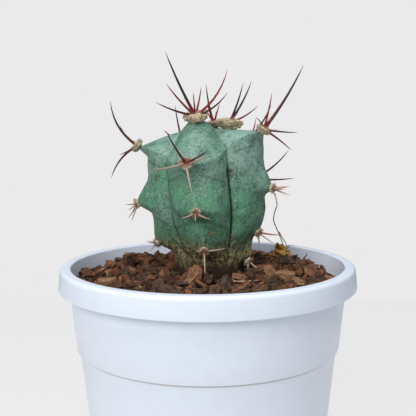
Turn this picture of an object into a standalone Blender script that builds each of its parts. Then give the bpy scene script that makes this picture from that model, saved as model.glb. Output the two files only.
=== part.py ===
"""Potted round cactus: a young five-ribbed cactus rooted in bark mix in a plain white round pot.

Lengths are metres and +Z is up. The origin is the middle of the pot's foot. A heading is a compass
angle seen from above: 0 degrees points along -Y, the front, and 90 degrees points along +X.
"""
import math
import random

import bmesh
import bpy
from mathutils import Matrix, Vector

GAP = 0.0003                 # clearance between pieces that touch
TURN_STEPS = 48              # facets round every turned piece

# Pot
POT_HEIGHT = 0.145
MOUTH_RADIUS = 0.0752        # inside of the wall at the very top
WALL = 0.0021
TAPER = 0.103                # radius lost for each metre down the wall
RIM_RADIUS = 0.082           # outside of the turned-down rim at its lower edge
RIM_DEPTH = 0.0115
RIM_SKIN = 0.0018
RIM_DRAFT = 0.0008           # how much narrower the rim is at its top
RIM_ROUND = 0.0020
MOUTH_ROUND = 0.0008
LEDGE_DROP = 0.0325          # stacking ledge, below the rim's lower edge
LEDGE_IN = 0.0015
LEDGE_HEIGHT = 0.0016
FOOT_WIDTH = 0.0045
FLOOR_LIFT = 0.0030
FLOOR_THICKNESS = 0.0022
DRAIN_COUNT = 6
DRAIN_RADIUS = 0.0045
DRAIN_CIRCLE = 0.040
DRAIN_SIDES = 16

# Potting mix
MIX_BELOW_MOUTH = 0.0105     # level at the wall, under the pot's top
MOUND_RISE = 0.0040          # how much higher the mix stands round the stem
MOUND_RINGS = 5

# Stem; its heights count up from the mix
STEM_X = 0.0015
STEM_LEAN = -0.0020          # sideways shift of the crown from the foot of the stem
STEM_TALL = 0.0820           # height of the growing point
APEX_X = 0.0045              # the newest areole sits a little to the right of it
PLUG_RADIUS = 0.0200         # buried foot of the stem
PLUG_DEPTH = 0.022
NECK_RISE = 0.0095           # round neck above the mix before the ribs swell
RIB_SWELL = 0.0300           # height over which the ribs reach their full depth
RIDGE_RADIUS = 0.0322
GROOVE_RADIUS = 0.0265
TUBERCLE = 0.0060            # how far the rib bulges at an areole
BULGE_ABOVE = 0.016
BULGE_BELOW = 0.006
RIB_FULLNESS = 2.1           # 1 gives flat flanks, more gives swollen ones
CROWN_FULLNESS = 3.4         # the same over the crown, where the ribs are plump
TUBERCLE_SPREAD = 2.2        # how fast a bulge fades from the ridge to the groove
CROWN_ARCH = 1.25            # 1 gives a straight slope from the shoulder to the peak
CROWN_GROOVE_DROP = 0.0030
HALF_RIB_STEPS = 5
PLUG_ROWS = 5
SIDE_ROWS = 34
CROWN_ROWS = 7

# Areoles and spines
WOOL_HALF_WIDTH = 0.0028
WOOL_THICKNESS = 0.0018
YOUNG_WOOL_HALF_WIDTH = 0.0037
YOUNG_WOOL_THICKNESS = 0.0026
SPINE_ROOT = 0.0015          # radius of the knot that an areole's spines grow from
SPINE_SECTIONS = [(0.10, 0.95), (0.55, 0.68), (1.0, 0.08)]   # share of length, share of root width
SPINE_LIFT = 0.0002          # knot centre above the wool's top
SPINE_LEAST_RISE = 0.24      # sine of the flattest angle between a spine and its wool
SEAT_MARGIN = 0.0012         # how far beyond the wool its seat looks for higher skin
WOOL_SIDES = 12
WOOL_TUBE_SIDES = 5

# Loose pieces
CHIP_JITTER = 0.16           # share of its size that a chip's corner may be shaken by
CHIP_EDGE = 0.10             # bevel, as a share of the chip's least size
THREAD_RADIUS = 0.00035
HOOK_RADIUS = 0.0005


def mix_at_wall():
    return POT_HEIGHT - MIX_BELOW_MOUTH


def on_stem(height):
    """World height of a place on the stem that is this far above the mix."""
    return mix_at_wall() + MOUND_RISE + height


def stem_top():
    return on_stem(STEM_TALL)


class Rib:
    """One rib: where its ridge points, where its crown peaks, and the areoles down its side.

    Each side areole is a height above the mix and how far the ridge bulges there, as a share of a full
    tubercle. crown_tilt is how far the areole on the peak leans outward, in degrees, or None where there
    is none.
    """

    def __init__(self, name, heading_top, heading_foot, peak, side_areoles, crown_tilt=None):
        self.name = name
        self.heading_top = heading_top
        self.heading_foot = heading_foot
        self.peak_radius = peak[0]
        self.peak_height = on_stem(peak[1])
        self.side_areoles = [(on_stem(height), bulge) for height, bulge in side_areoles]
        self.crown_tilt = crown_tilt

    def shoulder(self):
        return self.side_areoles[0][0]


RIBS = [
    Rib("front", -17.0, -6.0, (0.0165, 0.0850), [(0.0635, 1.0), (0.0390, 1.0), (0.0180, 1.0)],
        crown_tilt=32.0),
    Rib("right", 63.0, 63.0, (0.0140, 0.0805), [(0.0790, 0.2), (0.0495, 1.0), (0.0255, 0.4), (0.0095, 1.0)],
        crown_tilt=6.0),
    Rib("back_right", 135.0, 133.0, (0.0130, 0.0810),
        [(0.0755, 0.8), (0.0515, 1.0), (0.0265, 0.9), (0.0105, 1.0)]),
    Rib("back_left", 202.0, 200.0, (0.0130, 0.0795), [(0.0725, 0.8), (0.0485, 1.0), (0.0235, 1.0)]),
    Rib("left", 273.0, 275.0, (0.0130, 0.0795), [(0.0710, 0.75), (0.0405, 1.15), (0.0185, 1.1)]),
]

# Spines of each areole, counted down its rib: (length, heading, rise above level) in metres and degrees.
SPINES = {
    "front_1": [(0.0360, -60, 62), (0.0240, -52, 41), (0.0220, -72, 18), (0.0285, 72, 53),
                (0.0215, 64, 32), (0.0120, -60, 84), (0.0150, 80, 78)],
    "front_2": [(0.0210, -42, 50), (0.0175, -66, -8), (0.0155, 56, 16), (0.0165, 48, 24),
                (0.0170, 20, -57)],
    "front_3": [(0.0080, -66, -16), (0.0090, 60, -17), (0.0060, 0, -40), (0.0050, -8, 40)],
    "front_4": [(0.0115, 72, 10), (0.0130, 4, -56), (0.0060, -50, 6)],
    "right_1": [(0.0225, 118, 68), (0.0265, 122, 57), (0.0190, 112, 28), (0.0070, 60, 45)],
    "right_2": [(0.0385, 90, 58), (0.0190, 60, 76), (0.0075, -70, 53), (0.0175, 80, -6),
                (0.0180, 84, -38)],
    "right_3": [(0.0095, 60, 7), (0.0075, 50, -3), (0.0095, 76, -21), (0.0070, 96, 6)],
    "right_4": [(0.0125, 74, -5), (0.0110, 60, -30), (0.0110, 14, -74)],
    "right_5": [(0.0110, 56, -30), (0.0090, -6, -34)],
    "left_1": [(0.0275, -78, 60), (0.0145, -108, 48), (0.0115, -54, -24), (0.0225, -96, -50)],
    "left_2": [(0.0065, -66, -3), (0.0065, -62, -32), (0.0100, -112, -56), (0.0105, -40, -64)],
    "left_3": [(0.0060, -98, 8), (0.0050, -60, 4), (0.0060, -80, -50)],
    "back_right_1": [(0.0240, 128, 50), (0.0160, 165, 40), (0.0150, 100, 14), (0.0140, 142, -24)],
    "back_right_2": [(0.0270, 104, 38), (0.0240, 98, 0), (0.0140, 160, 4)],
    "back_right_3": [(0.0090, 112, 6), (0.0080, 150, -6), (0.0085, 130, -50)],
    "back_right_4": [(0.0075, 118, 4), (0.0070, 150, -10)],
    "back_left_1": [(0.0260, -160, 58), (0.0160, -186, 34), (0.0170, -130, 24), (0.0140, -156, -26)],
    "back_left_2": [(0.0100, -132, 10), (0.0095, -186, 4), (0.0090, -158, -42)],
    "back_left_3": [(0.0080, -134, 0), (0.0075, -182, -8), (0.0075, -160, -50)],
    "apex": [(0.0215, -90, 79), (0.0115, -95, 72), (0.0100, -70, 58), (0.0115, 80, 74), (0.0080, 160, 60)],
}

# Areoles with dark spines, besides the top one of each rib.
YOUNG_AREOLES = ("apex", "front_2", "right_2", "back_right_2")

# The newest wool, which has its own shape: half width across the rib, half length along it, thickness.
NEWEST_WOOL = {
    "front_1": (0.0066, 0.0038, 0.0050),
    "right_1": (0.0044, 0.0074, 0.0056),
    "apex": (0.0042, 0.0036, 0.0026),
}

# Bark chips: heading from the pot's axis, share of the way from stem to wall, size (length, width,
# height), then the turn and tilt of the chip in degrees.
CHIPS = [
    (-69, 0.716, (0.0085, 0.0055, 0.0035), 10, 8),
    (61, 0.480, (0.0095, 0.0065, 0.0060), -20, 12),
    (17, 0.344, (0.0180, 0.0055, 0.0030), 4, 4),
    (-119, 0.633, (0.0060, 0.0040, 0.0080), 30, 6),
    (103, 0.861, (0.0105, 0.0065, 0.0040), 70, 8),
    (150, 0.842, (0.0125, 0.0075, 0.0050), 15, 10),
    (-37, 0.372, (0.0100, 0.0060, 0.0035), 60, 10),
    (-158, 0.665, (0.0115, 0.0070, 0.0045), -35, 8),
]

# Loose clusters: heading and share of the way from stem to wall, as for the chips.
DRY_FLOWER_AT = (128, 0.78)
DRY_FLOWER_REACH = 0.010
DRY_FLOWER_SIZE = (0.0050, 0.0038, 0.0036)
DRY_FLOWER_LIFT = 0.0030
DRY_FLOWER_WISPS = [(0.0100, -35, 6), (0.0085, 20, 10), (0.0090, 75, 20), (0.0080, 140, 8),
                    (0.0090, -100, 14), (0.0080, -150, 8), (0.0075, 100, 52)]
FALLEN_SPINES_AT = (22, 0.10)
FALLEN_SPINES_REACH = 0.007
FALLEN_SPINES_LIFT = 0.0008
FALLEN_SPINES = [(0.0135, 88, 3), (0.0060, -60, 24), (0.0060, -130, 10), (0.0050, 10, 40)]

# Dry threads beside the right rib: heading, distance outside the rib's tubercles, height above the mix.
THREADS = {
    "dry_thread_1": [(68, 0.0019, 0.0405), (76, -0.0006, 0.0355), (87, -0.0014, 0.0300),
                     (97, 0.0016, 0.0237), (108, 0.0070, 0.0160), (114, 0.0106, 0.0115)],
    "dry_thread_2": [(84, 0.0012, 0.0245), (89, 0.0033, 0.0205), (98, 0.0067, 0.0160)],
}

# A dark hooked spine by the wall: heading, distance inside the wall, height above the mix at the wall.
HOOKED_SPINE = [(125, 0.0056, 0.0020), (123, 0.0046, 0.0045), (120, 0.0045, 0.0080), (118, 0.0066, 0.0098)]


def remove_everything():
    for obj in list(bpy.data.objects):
        bpy.data.objects.remove(obj)


def new_collection(name):
    collection = bpy.data.collections.new(name)
    bpy.context.scene.collection.children.link(collection)
    return collection


def new_material(name, color, roughness):
    material = bpy.data.materials.new(name)
    material.use_nodes = True
    shader = material.node_tree.nodes["Principled BSDF"]
    shader.inputs["Base Color"].default_value = (*color, 1.0)
    shader.inputs["Roughness"].default_value = roughness
    shader.inputs["Metallic"].default_value = 0.0
    return material


def add_object(name, mesh, collection, material=None):
    obj = bpy.data.objects.new(name, mesh)
    collection.objects.link(obj)
    if material is not None:
        mesh.materials.append(material)
    return obj


def mesh_from_bmesh(name, bm):
    bmesh.ops.recalc_face_normals(bm, faces=bm.faces)
    mesh = bpy.data.meshes.new(name)
    bm.to_mesh(mesh)
    bm.free()
    return mesh


def compass(heading, rise=0.0):
    """Unit vector with this heading and rise, both in degrees."""
    turn = math.radians(heading)
    lift = math.radians(rise)
    return Vector((math.sin(turn) * math.cos(lift), -math.cos(turn) * math.cos(lift), math.sin(lift)))


def smooth_step(value):
    value = min(max(value, 0.0), 1.0)
    return value * value * (3.0 - 2.0 * value)


def turned(name, profile, collection, material):
    """Turn an open profile of (radius, height) points about Z."""
    mesh = bpy.data.meshes.new(name)
    points = [(radius, 0.0, height) for radius, height in profile]
    edges = [(index, index + 1) for index in range(len(points) - 1)]
    mesh.from_pydata(points, edges, [])
    obj = add_object(name, mesh, collection, material)
    screw = obj.modifiers.new("Turn", "SCREW")
    screw.axis = "Z"
    screw.angle = math.tau
    screw.steps = TURN_STEPS
    screw.render_steps = TURN_STEPS
    screw.use_merge_vertices = True
    screw.merge_threshold = 0.00001
    return obj


def cut(obj, cutter):
    cutter.hide_render = True
    cutter.display_type = "WIRE"
    boolean = obj.modifiers.new("Cut " + cutter.name, "BOOLEAN")
    boolean.operation = "DIFFERENCE"
    boolean.solver = "EXACT"
    boolean.object = cutter


def arc(centre, radius, start, end, steps):
    """Points (radius, height) on an arc in the profile's plane, angles in degrees from outward level."""
    points = []
    for step in range(steps + 1):
        angle = math.radians(start + (end - start) * step / steps)
        points.append((centre[0] + radius * math.cos(angle), centre[1] + radius * math.sin(angle)))
    return points


# Pot

def rim_foot():
    return POT_HEIGHT - RIM_DEPTH


def ledge_top():
    return rim_foot() - LEDGE_DROP


def inner_radius(height):
    """Inside radius of the pot's wall at a height; the stacking ledge narrows everything below it."""
    below_ledge = smooth_step((ledge_top() - height) / LEDGE_HEIGHT)
    return MOUTH_RADIUS - TAPER * (POT_HEIGHT - height) - LEDGE_IN * below_ledge


def floor_top():
    return FLOOR_LIFT + FLOOR_THICKNESS


def wall_heights():
    return [ledge_top() - LEDGE_HEIGHT, ledge_top()]


def make_pot(collection, cutters, material):
    foot_radius = inner_radius(0.0) + WALL
    rim_top_radius = RIM_RADIUS - RIM_DRAFT
    skirt_top = POT_HEIGHT - RIM_SKIN
    profile = [(0.0, floor_top()), (inner_radius(floor_top()), floor_top())]
    profile += [(inner_radius(height), height) for height in wall_heights()]
    mouth_centre = (MOUTH_RADIUS + MOUTH_ROUND, POT_HEIGHT - MOUTH_ROUND)
    profile += arc(mouth_centre, MOUTH_ROUND, 180.0, 90.0, 2)
    profile += arc((rim_top_radius - RIM_ROUND, POT_HEIGHT - RIM_ROUND), RIM_ROUND, 90.0, 0.0, 4)
    profile += [(RIM_RADIUS, rim_foot()), (RIM_RADIUS - RIM_SKIN, rim_foot())]
    profile += [(rim_top_radius - RIM_SKIN, skirt_top), (inner_radius(skirt_top) + WALL, skirt_top)]
    profile += [(inner_radius(height) + WALL, height) for height in reversed(wall_heights())]
    profile += [(foot_radius, 0.0), (foot_radius - FOOT_WIDTH, 0.0)]
    profile += [(foot_radius - FOOT_WIDTH, FLOOR_LIFT), (0.0, FLOOR_LIFT)]
    pot = turned("pot", profile, collection, material)

    bm = bmesh.new()
    for index in range(DRAIN_COUNT):
        centre = compass(360.0 * (index + 0.5) / DRAIN_COUNT) * DRAIN_CIRCLE
        centre.z = FLOOR_LIFT + 0.5 * FLOOR_THICKNESS
        bmesh.ops.create_cone(bm, cap_ends=True, segments=DRAIN_SIDES, radius1=DRAIN_RADIUS,
                              radius2=DRAIN_RADIUS, depth=3.0 * FLOOR_THICKNESS,
                              matrix=Matrix.Translation(centre))
    cut(pot, add_object("drain_holes", mesh_from_bmesh("drain_holes", bm), cutters))
    return pot


# Potting mix

def mix_height(radius):
    """Height of the mounded surface at a distance from the pot's axis."""
    flat = PLUG_RADIUS + STEM_X
    share = smooth_step((radius - flat) / (inner_radius(mix_at_wall()) - flat))
    return mix_at_wall() + MOUND_RISE * (1.0 - share)


def make_mix(collection, cutters, material):
    edge = inner_radius(mix_at_wall()) - GAP
    inner_ring = PLUG_RADIUS + STEM_X
    profile = [(0.0, mix_height(0.0))]
    for ring in range(MOUND_RINGS + 1):
        radius = inner_ring + (edge - inner_ring) * ring / MOUND_RINGS
        profile.append((radius, mix_height(radius)))
    profile += [(inner_radius(height) - GAP, height) for height in reversed(wall_heights())]
    bottom = floor_top() + GAP
    profile += [(inner_radius(bottom) - GAP, bottom), (0.0, bottom)]
    mix = turned("potting_mix", profile, collection, material)

    pocket_top = mix_height(0.0) + PLUG_DEPTH
    pocket_bottom = mix_height(0.0) - PLUG_DEPTH - GAP
    bm = bmesh.new()
    centre = Vector((STEM_X, 0.0, 0.5 * (pocket_top + pocket_bottom)))
    pocket_radius = (PLUG_RADIUS + GAP) / math.cos(math.pi / TURN_STEPS)
    bmesh.ops.create_cone(bm, cap_ends=True, segments=TURN_STEPS, radius1=pocket_radius,
                          radius2=pocket_radius, depth=pocket_top - pocket_bottom,
                          matrix=Matrix.Translation(centre))
    cut(mix, add_object("stem_pocket", mesh_from_bmesh("stem_pocket", bm), cutters))
    return mix


# Stem

def neck_height():
    return mix_height(0.0) + NECK_RISE


def stem_axis(height):
    """Middle of the stem at a height: straight up from its foot, then leaning a little."""
    share = smooth_step((height - neck_height()) / (stem_top() - neck_height()))
    return Vector((STEM_X + STEM_LEAN * share, 0.0, height))


def swell(height):
    return smooth_step((height - neck_height()) / RIB_SWELL)


def bulge(rib, height):
    """Share of the tubercle at a height on the ridge: a long slope above each areole, a short one below."""
    share = 0.0
    for areole_height, areole_bulge in rib.side_areoles:
        above = (height - areole_height) / BULGE_ABOVE
        below = (areole_height - height) / BULGE_BELOW
        share = max(share, areole_bulge * (1.0 - smooth_step(max(above, below))))
    return share


def tubercle_height(rib, height):
    started = smooth_step((height - neck_height() + 0.5 * NECK_RISE) / NECK_RISE)
    return TUBERCLE * bulge(rib, height) * started


def crest_radius(height):
    """Radius of a ridge between its tubercles."""
    return PLUG_RADIUS + (RIDGE_RADIUS - PLUG_RADIUS) * swell(height)


def ridge_radius(rib, height):
    return crest_radius(height) + tubercle_height(rib, height)


def groove_radius(height):
    return PLUG_RADIUS + (GROOVE_RADIUS - PLUG_RADIUS) * swell(height)


def crown_point(start_radius, start_height, peak_radius, peak_height, share):
    """Profile over the crown: up from the shoulder to the peak, then down to the growing point."""
    radius = start_radius * (1.0 - share)
    if radius > peak_radius:
        climb = (start_radius - radius) / (start_radius - peak_radius)
        height = start_height + (peak_height - start_height) * (1.0 - (1.0 - climb) ** CROWN_ARCH)
    else:
        height = stem_top() + (peak_height - stem_top()) * smooth_step(radius / peak_radius)
    return radius, height


def ridge_profile(rib, row):
    """Radius and height of a rib's ridge on a row of the stem's mesh, rows counted up from the plug."""
    foot = mix_height(0.0) - PLUG_DEPTH
    if row <= PLUG_ROWS:
        angle = 0.5 * math.pi * row / PLUG_ROWS
        return PLUG_RADIUS * math.sin(angle), foot + 0.5 * PLUG_DEPTH * (1.0 - math.cos(angle))
    if row <= PLUG_ROWS + SIDE_ROWS:
        start = foot + 0.5 * PLUG_DEPTH
        height = start + (rib.shoulder() - start) * (row - PLUG_ROWS) / SIDE_ROWS
        return ridge_radius(rib, height), height
    share = (row - PLUG_ROWS - SIDE_ROWS) / CROWN_ROWS
    shoulder_radius = ridge_radius(rib, rib.shoulder())
    return crown_point(shoulder_radius, rib.shoulder(), rib.peak_radius, rib.peak_height, share)


def groove_profile(rib, row):
    """Radius and height of the groove beside a rib on a row of the stem's mesh."""
    if row <= PLUG_ROWS:
        return ridge_profile(rib, row)
    if row <= PLUG_ROWS + SIDE_ROWS:
        height = ridge_profile(rib, row)[1]
        return groove_radius(height), height
    share = (row - PLUG_ROWS - SIDE_ROWS) / CROWN_ROWS
    climb = math.sin(0.5 * math.pi * share)
    height = rib.shoulder() + (stem_top() - CROWN_GROOVE_DROP - rib.shoulder()) * climb
    return groove_radius(rib.shoulder()) * (1.0 - share), height


def rib_heading(index, height):
    """Heading of a ridge at a height; whole turns are added so that headings grow round the stem."""
    rib = RIBS[index % len(RIBS)]
    share = smooth_step((height - neck_height()) / (stem_top() - neck_height()))
    heading = rib.heading_foot + (rib.heading_top - rib.heading_foot) * share
    return heading + 360.0 * (index // len(RIBS))


def stem_point(index, side, offset, row):
    """Point on the stem: a rib's index, the side of its ridge, the share of the way to the groove, a row."""
    rib = RIBS[index % len(RIBS)]
    ridge_r, ridge_z = ridge_profile(rib, row)
    beside = RIBS[(index + side) % len(RIBS)]
    groove_a = groove_profile(rib, row)
    groove_b = groove_profile(beside, row)
    groove_r = 0.5 * (groove_a[0] + groove_b[0])
    groove_z = 0.5 * (groove_a[1] + groove_b[1])
    crowned = smooth_step((row - PLUG_ROWS - SIDE_ROWS) / (0.5 * CROWN_ROWS))
    weight = 1.0 - offset ** (RIB_FULLNESS + (CROWN_FULLNESS - RIB_FULLNESS) * crowned)
    knob = 0.0
    if PLUG_ROWS < row <= PLUG_ROWS + SIDE_ROWS:
        knob = tubercle_height(rib, ridge_z)
    radius = groove_r + (ridge_r - knob - groove_r) * weight + knob * (1.0 - offset) ** TUBERCLE_SPREAD
    height = groove_z + (ridge_z - groove_z) * weight
    ridge_turn = rib_heading(index, height)
    groove_turn = 0.5 * (ridge_turn + rib_heading(index + side, height))
    heading = ridge_turn + (groove_turn - ridge_turn) * offset
    return stem_axis(height) + compass(heading) * radius


def make_stem(collection, material):
    """A UV sphere whose columns and rows are laid along the ribs."""
    columns = 2 * HALF_RIB_STEPS * len(RIBS)
    rows = PLUG_ROWS + SIDE_ROWS + CROWN_ROWS
    bm = bmesh.new()
    bmesh.ops.create_uvsphere(bm, u_segments=columns, v_segments=rows, radius=1.0)
    for vertex in bm.verts:
        column = round(math.atan2(vertex.co.x, -vertex.co.y) / math.tau * columns) % columns
        latitude = math.asin(min(max(vertex.co.z, -1.0), 1.0))
        row = round((latitude / math.pi + 0.5) * rows)
        index = (column + HALF_RIB_STEPS) // (2 * HALF_RIB_STEPS)
        step = column - index * 2 * HALF_RIB_STEPS
        side = -1 if step < 0 else 1
        vertex.co = stem_point(index, side, abs(step) / HALF_RIB_STEPS, row)
    stem = add_object("stem", mesh_from_bmesh("stem", bm), collection, material)
    stem.data.shade_smooth()
    return stem


# Areoles: a ring of wool with a knot of spines in the middle

def ridge_place(index, height):
    return stem_axis(height) + compass(rib_heading(index, height)) * ridge_radius(RIBS[index], height)


def ridge_seat(index, height):
    """Matrix at a ridge point: X across the rib, Y up along it and Z straight out of it."""
    rib = RIBS[index]
    reach = 0.5 * WOOL_HALF_WIDTH
    if height < rib.shoulder():
        above = ridge_place(index, height + reach)
    else:
        start = ridge_radius(rib, height)
        radius, top = crown_point(start, height, rib.peak_radius, rib.peak_height, 2.0 * reach / start)
        above = stem_axis(top) + compass(rib_heading(index, top)) * radius
    along = above - ridge_place(index, height - reach)
    return seat_matrix(ridge_place(index, height), along, compass(rib_heading(index, height)))


def crown_seat(index):
    rib = RIBS[index]
    heading = rib_heading(index, rib.peak_height)
    point = stem_axis(rib.peak_height) + compass(heading) * rib.peak_radius
    point.z = rib.peak_height
    along = compass(heading + 180.0, rib.crown_tilt)
    return seat_matrix(point, along, compass(heading, 90.0 - rib.crown_tilt))


def seat_matrix(point, along, outward):
    along = along.normalized()
    across = along.cross(outward).normalized()
    matrix = Matrix((across, along, across.cross(along))).transposed().to_4x4()
    matrix.translation = point
    return matrix


def lift_clear(matrix, stem, reach):
    """Raise a seat along its normal until nothing of the stem within reach stands above it."""
    inverse = matrix.inverted()
    highest = 0.0
    for vertex in stem.data.vertices:
        local = inverse @ vertex.co
        if math.hypot(local.x, local.y) < reach:
            highest = max(highest, local.z)
    return matrix @ Matrix.Translation((0.0, 0.0, highest + GAP))


def is_young(name):
    return name.endswith("_1") or name in YOUNG_AREOLES


def wool_size(name):
    """Half width across the rib, half length along it and thickness of an areole's wool."""
    if name in NEWEST_WOOL:
        return NEWEST_WOOL[name]
    if is_young(name):
        return YOUNG_WOOL_HALF_WIDTH, YOUNG_WOOL_HALF_WIDTH, YOUNG_WOOL_THICKNESS
    return WOOL_HALF_WIDTH, WOOL_HALF_WIDTH, WOOL_THICKNESS


def make_wool(name, seat, collection, material):
    """A flattened ring of wool lying on its seat."""
    half_width, half_length, thickness = wool_size(name)
    hole = SPINE_ROOT + GAP
    tube = 0.5 * (min(half_width, half_length) - hole)
    bpy.ops.mesh.primitive_torus_add(major_segments=WOOL_SIDES, minor_segments=WOOL_TUBE_SIDES,
                                     major_radius=hole + tube, minor_radius=tube)
    obj = bpy.context.active_object
    obj.name = "wool_" + name
    obj.data.name = obj.name
    outer = hole + 2.0 * tube
    shape = Matrix.Diagonal((half_width / outer, half_length / outer, 0.5 * thickness / tube, 1.0))
    obj.data.transform(Matrix.Translation((0.0, 0.0, 0.5 * thickness)) @ shape)
    obj.data.materials.append(material)
    obj.data.shade_smooth()
    for owner in obj.users_collection:
        owner.objects.unlink(obj)
    collection.objects.link(obj)
    obj.matrix_world = seat
    return obj


def grow_spine(bm, face, length, direction):
    """Draw a tapering spine out of one face of a knot, section by section."""
    start = face.calc_center_median()
    corners = [vertex.co - start for vertex in face.verts]
    for share, width in SPINE_SECTIONS:
        face = bmesh.ops.extrude_discrete_faces(bm, faces=[face])["faces"][0]
        middle = start + direction * (length * share)
        for vertex, corner in zip(face.verts, corners):
            vertex.co = middle + corner * width


def make_spines(name, root, spines, collection, material, shape=(SPINE_ROOT, SPINE_ROOT, SPINE_ROOT)):
    """A knot with a spine drawn out of the face that best looks along each spine."""
    bm = bmesh.new()
    bmesh.ops.create_icosphere(bm, subdivisions=2, radius=1.0, matrix=Matrix.Diagonal((*shape, 1.0)))
    bmesh.ops.recalc_face_normals(bm, faces=bm.faces)
    bm.normal_update()
    taken = set()
    free = set(bm.faces)
    for length, direction in spines:
        face = max(free, key=lambda candidate: candidate.normal.dot(direction))
        free.discard(face)
        for edge in face.edges:
            free.difference_update(edge.link_faces)
        grow_spine(bm, face, length, direction)
    obj = add_object(name, mesh_from_bmesh(name, bm), collection, material)
    obj.location = root
    return obj


def above_wool(direction, normal):
    """Bend a direction up until it clears the wool round its root."""
    rise = direction.dot(normal)
    if rise < SPINE_LEAST_RISE:
        direction = direction + normal * (SPINE_LEAST_RISE - rise)
    return direction.normalized()


def make_areole(name, seat, stem, collection, materials):
    half_width, half_length, thickness = wool_size(name)
    seat = lift_clear(seat, stem, max(half_width, half_length) + SEAT_MARGIN)
    make_wool(name, seat, collection, materials["wool"])
    root = seat @ Vector((0.0, 0.0, max(thickness, SPINE_ROOT + GAP) + SPINE_LIFT))
    normal = seat.to_3x3() @ Vector((0.0, 0.0, 1.0))
    spines = [(length, above_wool(compass(heading, rise), normal)) for length, heading, rise in SPINES[name]]
    material = materials["young" if is_young(name) else "old"]
    make_spines("spines_" + name, root, spines, collection, material)


def make_areoles(stem, collection, materials):
    for index, rib in enumerate(RIBS):
        number = 1
        if rib.crown_tilt is not None:
            make_areole(rib.name + "_1", crown_seat(index), stem, collection, materials)
            number = 2
        for height, _ in rib.side_areoles:
            make_areole(f"{rib.name}_{number}", ridge_seat(index, height), stem, collection, materials)
            number += 1
    apex = Matrix.Translation(stem_axis(stem_top()) + Vector((APEX_X, 0.0, 0.0)))
    make_areole("apex", apex, stem, collection, materials)


# Loose pieces on the mix

def on_mix(heading, share, reach):
    """Point over the mix, where share 0 has a piece of this reach against the stem and 1 against the wall."""
    inside = PLUG_RADIUS + STEM_X + reach
    outside = inner_radius(mix_at_wall()) - reach
    return compass(heading) * (inside + (outside - inside) * share)


def rest_on_mix(corners):
    """Height to add so that every corner clears the mounded surface."""
    return max(mix_height(math.hypot(corner.x, corner.y)) - corner.z for corner in corners) + GAP


def make_chip(number, heading, share, size, turn, tilt, collection, material):
    """A broken flake of bark: a box with shaken corners and softened edges, laid on the mix."""
    shake = random.Random(number)
    bm = bmesh.new()
    bmesh.ops.create_cube(bm, size=1.0, matrix=Matrix.Diagonal((*size, 1.0)))
    for vertex in bm.verts:
        for axis in range(3):
            vertex.co[axis] += size[axis] * shake.uniform(-CHIP_JITTER, CHIP_JITTER)
    bmesh.ops.bevel(bm, geom=bm.edges[:], offset=CHIP_EDGE * min(size), segments=1, profile=0.5,
                    affect="EDGES", material=-1)
    place = on_mix(heading, share, 0.5 * math.hypot(size[0], size[1]) * (1.0 + CHIP_JITTER))
    lean = Matrix.Rotation(math.radians(turn), 4, "Z") @ Matrix.Rotation(math.radians(tilt), 4, "X")
    bmesh.ops.transform(bm, matrix=Matrix.Translation(place) @ lean, verts=bm.verts)
    lift = rest_on_mix([vertex.co for vertex in bm.verts])
    bmesh.ops.translate(bm, vec=(0.0, 0.0, lift), verts=bm.verts)
    name = f"bark_chip_{number}"
    add_object(name, mesh_from_bmesh(name, bm), collection, material)


def make_loose_cluster(name, place, spines, shape, lift, collection, material):
    """A knot with spines or wisps lying on the mix."""
    root = Vector((place.x, place.y, mix_height(place.length) + shape[2] + GAP + lift))
    aims = [(length, compass(heading, rise)) for length, heading, rise in spines]
    make_spines(name, root, aims, collection, material, shape)


def thread_place(heading, outside, height):
    place = compass(heading) * (RIDGE_RADIUS + TUBERCLE + outside)
    place.z = on_stem(height)
    return place


def wall_place(heading, inside, height):
    place = compass(heading) * (inner_radius(mix_at_wall()) - inside)
    place.z = mix_at_wall() + height
    return place


def make_wire(name, points, radius, collection, material):
    curve = bpy.data.curves.new(name, "CURVE")
    curve.dimensions = "3D"
    curve.bevel_depth = radius
    curve.bevel_resolution = 1
    curve.use_fill_caps = True
    spline = curve.splines.new("POLY")
    spline.points.add(len(points) - 1)
    for target, point in zip(spline.points, points):
        target.co = (*point, 1.0)
    curve.materials.append(material)
    obj = bpy.data.objects.new(name, curve)
    collection.objects.link(obj)


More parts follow.
